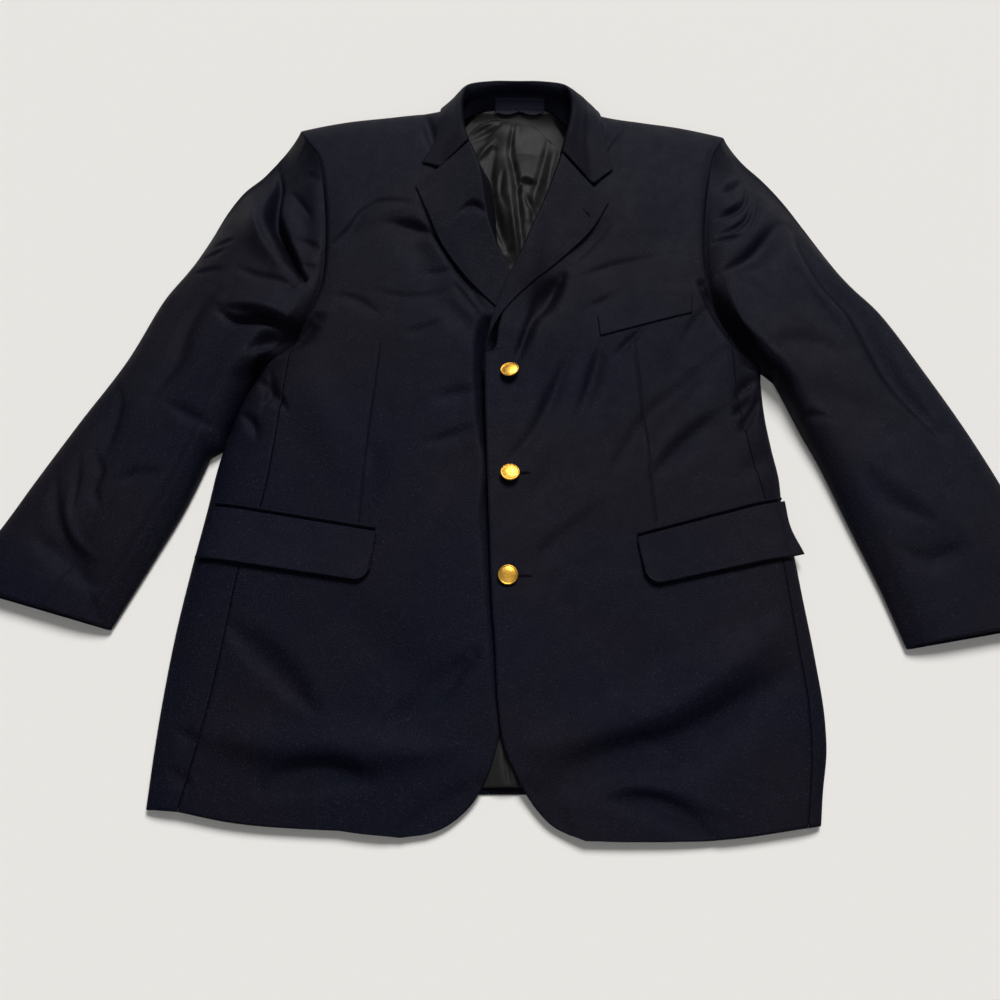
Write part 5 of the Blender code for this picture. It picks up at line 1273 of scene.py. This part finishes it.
class Shader:
    """A material's node tree, with short ways to add nodes and join them."""

    def __init__(self, name):
        self.material = bpy.data.materials.new(name)
        self.material["slot"] = name
        self.material.use_nodes = True
        self.tree = self.material.node_tree
        self.surface = self.tree.nodes["Principled BSDF"]

    def node(self, kind, settings=None, **inputs):
        made = self.tree.nodes.new(f"ShaderNode{kind}")
        for key, value in (settings or {}).items():
            setattr(made, key, value)
        for key, value in inputs.items():
            self.set(made.inputs[key.replace("_", " ")], value)
        return made

    def set(self, socket, value):
        if isinstance(value, bpy.types.NodeSocket):
            self.tree.links.new(value, socket)
        else:
            socket.default_value = value

    def finish(self, **inputs):
        for key, value in inputs.items():
            self.set(self.surface.inputs[key.replace("_", " ")], value)

    def value(self, operation, *values):
        made = self.node("Math", {"operation": operation})
        for socket, value in zip(made.inputs, values):
            self.set(socket, value)
        return made.outputs[0]

    def noise(self, where, scale, detail=2.0, roughness=0.5):
        made = self.node("TexNoise", Vector=where, Scale=scale, Detail=detail, Roughness=roughness)
        return made.outputs["Fac"]

    def ramp(self, value, low, high, to_low=0.0, to_high=1.0):
        made = self.node("MapRange", {"clamp": True, "interpolation_type": "SMOOTHSTEP"}, Value=value)
        for key, number in (("From Min", low), ("From Max", high), ("To Min", to_low), ("To Max", to_high)):
            made.inputs[key].default_value = number
        return made.outputs["Result"]

    def mix(self, share, first, second):
        made = self.node("Mix", {"data_type": "RGBA"})
        self.set(made.inputs[0], share)
        self.set(made.inputs[6], first)
        self.set(made.inputs[7], second)
        return made.outputs[2]

    def bump(self, height, distance, strength):
        return self.node("Bump", Height=height, Distance=distance, Strength=strength).outputs["Normal"]


def wool():
    """Dark navy worsted: a fine twill, a slight nap and a soft sheen."""
    shader = Shader("navy_wool")
    place = shader.node("TexCoord").outputs["Object"]
    grain = shader.node("UVMap", {"uv_map": "grain"}).outputs["UV"]
    fibres = shader.noise(place, scale=620, detail=4, roughness=0.65)
    patches = shader.noise(place, scale=5)
    cloudy = shader.noise(place, scale=60, detail=3, roughness=0.6)
    twill = shader.node("TexWave", {"bands_direction": "DIAGONAL"}, Vector=grain, Scale=520).outputs["Fac"]
    tone = shader.mix(shader.ramp(patches, 0.38, 0.62), (*WOOL_BLUE, 1), (*WOOL_WARM, 1))
    colour = shader.mix(shader.ramp(fibres, 0.52, 0.82), tone, (*WOOL_FIBRE, 1))
    dots = shader.node("TexVoronoi", Vector=place, Scale=170).outputs["Distance"]
    sparse = shader.ramp(shader.noise(place, scale=90), 0.60, 0.66)
    lint = shader.value("MULTIPLY", shader.ramp(dots, 0.14, 0.06), sparse)
    colour = shader.mix(lint, colour, (*WOOL_LINT, 1))
    height = shader.value("ADD", shader.value("MULTIPLY", twill, TWILL_SHARE), fibres)
    fine = shader.bump(height, distance=0.0009, strength=0.7)
    shader.finish(Base_Color=colour, Roughness=shader.ramp(cloudy, 0.3, 0.7, 0.54, 0.62), Normal=fine)
    shader.finish(Specular_IOR_Level=0.105, Specular_Tint=(0.66, 0.70, 1.0, 1))
    return shader.material


def satin():
    """The charcoal lining."""
    shader = Shader("black_lining")
    place = shader.node("TexCoord").outputs["Object"]
    fine = shader.bump(shader.noise(place, scale=1500), distance=0.0002, strength=0.5)
    tone = shader.ramp(shader.noise(place, scale=45, detail=3), 0.35, 0.7)
    colour = shader.mix(tone, (*LINING_DARK, 1), (*LINING_PALE, 1))
    shader.finish(Base_Color=colour, Roughness=0.5, Normal=fine)
    shader.finish(Specular_IOR_Level=0.09)
    return shader.material


def label_satin():
    shader = Shader("label_satin")
    place = shader.node("TexCoord").outputs["Object"]
    threads = shader.noise(place, scale=1800)
    colour = shader.mix(shader.ramp(threads, 0.3, 0.7), (*LABEL_DARK, 1), (*LABEL_PALE, 1))
    fine = shader.bump(threads, distance=0.00005, strength=0.5)
    shader.finish(Base_Color=colour, Roughness=0.45, Normal=fine)
    shader.finish(Specular_IOR_Level=0.14)
    return shader.material


def gold():
    """Gilt metal with a stippled dome."""
    shader = Shader("gold")
    place = shader.node("TexCoord").outputs["Object"]
    stipple = shader.noise(place, scale=700, detail=3, roughness=0.6)
    patches = shader.ramp(shader.noise(place, scale=300), 0.35, 0.7)
    colour = shader.mix(patches, (*GOLD_DEEP, 1), (*GOLD_PALE, 1))
    shader.finish(Base_Color=colour, Metallic=1.0, Roughness=shader.ramp(stipple, 0.3, 0.7, 0.38, 0.52))
    shader.finish(Normal=shader.bump(stipple, distance=0.0003, strength=0.5))
    return shader.material


def build():
    wool_cloth, lining_cloth = wool(), satin()
    for side in SIGN:
        armhole = Armhole(side)
        front(side, armhole, wool_cloth)
        side_panel(side, armhole, wool_cloth)
        back(side, armhole, wool_cloth)
        sleeve(side, armhole, wool_cloth)
        cloth(f"facing_{side}", lapel_grid(side), FACING, wool_cloth)
        flap(side, wool_cloth)
        jet(side, wool_cloth)
    cloth("collar", collar_grid(), FACING, wool_cloth)
    collar_stand(wool_cloth)
    chest_welt(wool_cloth)
    lining(lining_cloth)
    label(label_satin())
    gilt = gold()
    for number, (x, y, lean, tip) in enumerate(BUTTONS, 1):
        button(number, x, y, lean, tip, gilt)
    for row in BUTTONHOLES:
        buttonhole(*row, wool_cloth)


def floor():
    """The plain pale floor, just under the part."""
    bpy.ops.mesh.primitive_plane_add(size=FLOOR_SIZE, location=FLOOR_PLACE)
    plane = bpy.context.object
    plane.name = "floor"
    shader = Shader("floor")
    shader.finish(Base_Color=(*FLOOR_COLOUR, 1), Roughness=0.95, Specular_IOR_Level=0.1)
    plane.data.materials.append(shader.material)


def sun(name, energy, place, width, colour):
    data = bpy.data.lights.new(name, "SUN")
    data.energy = energy
    data.color = colour
    data.angle = math.radians(width)
    lamp = bpy.data.objects.new(name, data)
    lamp.location = place
    lamp.rotation_euler = (Vector() - Vector(place)).to_track_quat("-Z", "Y").to_euler()
    bpy.context.scene.collection.objects.link(lamp)


def studio():
    """Even light from all round, and two broad suns."""
    bpy.context.scene.view_settings.view_transform = "Standard"
    world = bpy.data.worlds.new("studio")
    world.use_nodes = True
    world.node_tree.nodes["Background"].inputs["Color"].default_value = (*WORLD_COLOUR, 1)
    world.node_tree.nodes["Background"].inputs["Strength"].default_value = WORLD_STRENGTH
    bpy.context.scene.world = world
    for row in SUNS:
        sun(*row)


def camera():
    """The camera at the photograph's place and angle."""
    data = bpy.data.cameras.new("camera")
    data.lens, data.sensor_width = CAMERA_LENS, CAMERA_SENSOR
    data.clip_start, data.clip_end = CAMERA_CLIP
    eye = bpy.data.objects.new("camera", data)
    eye.location = CAMERA_PLACE
    eye.rotation_euler = (math.radians(CAMERA_TILT), 0, 0)
    bpy.context.scene.collection.objects.link(eye)
    bpy.context.scene.camera = eye


build()
floor()
studio()
camera()
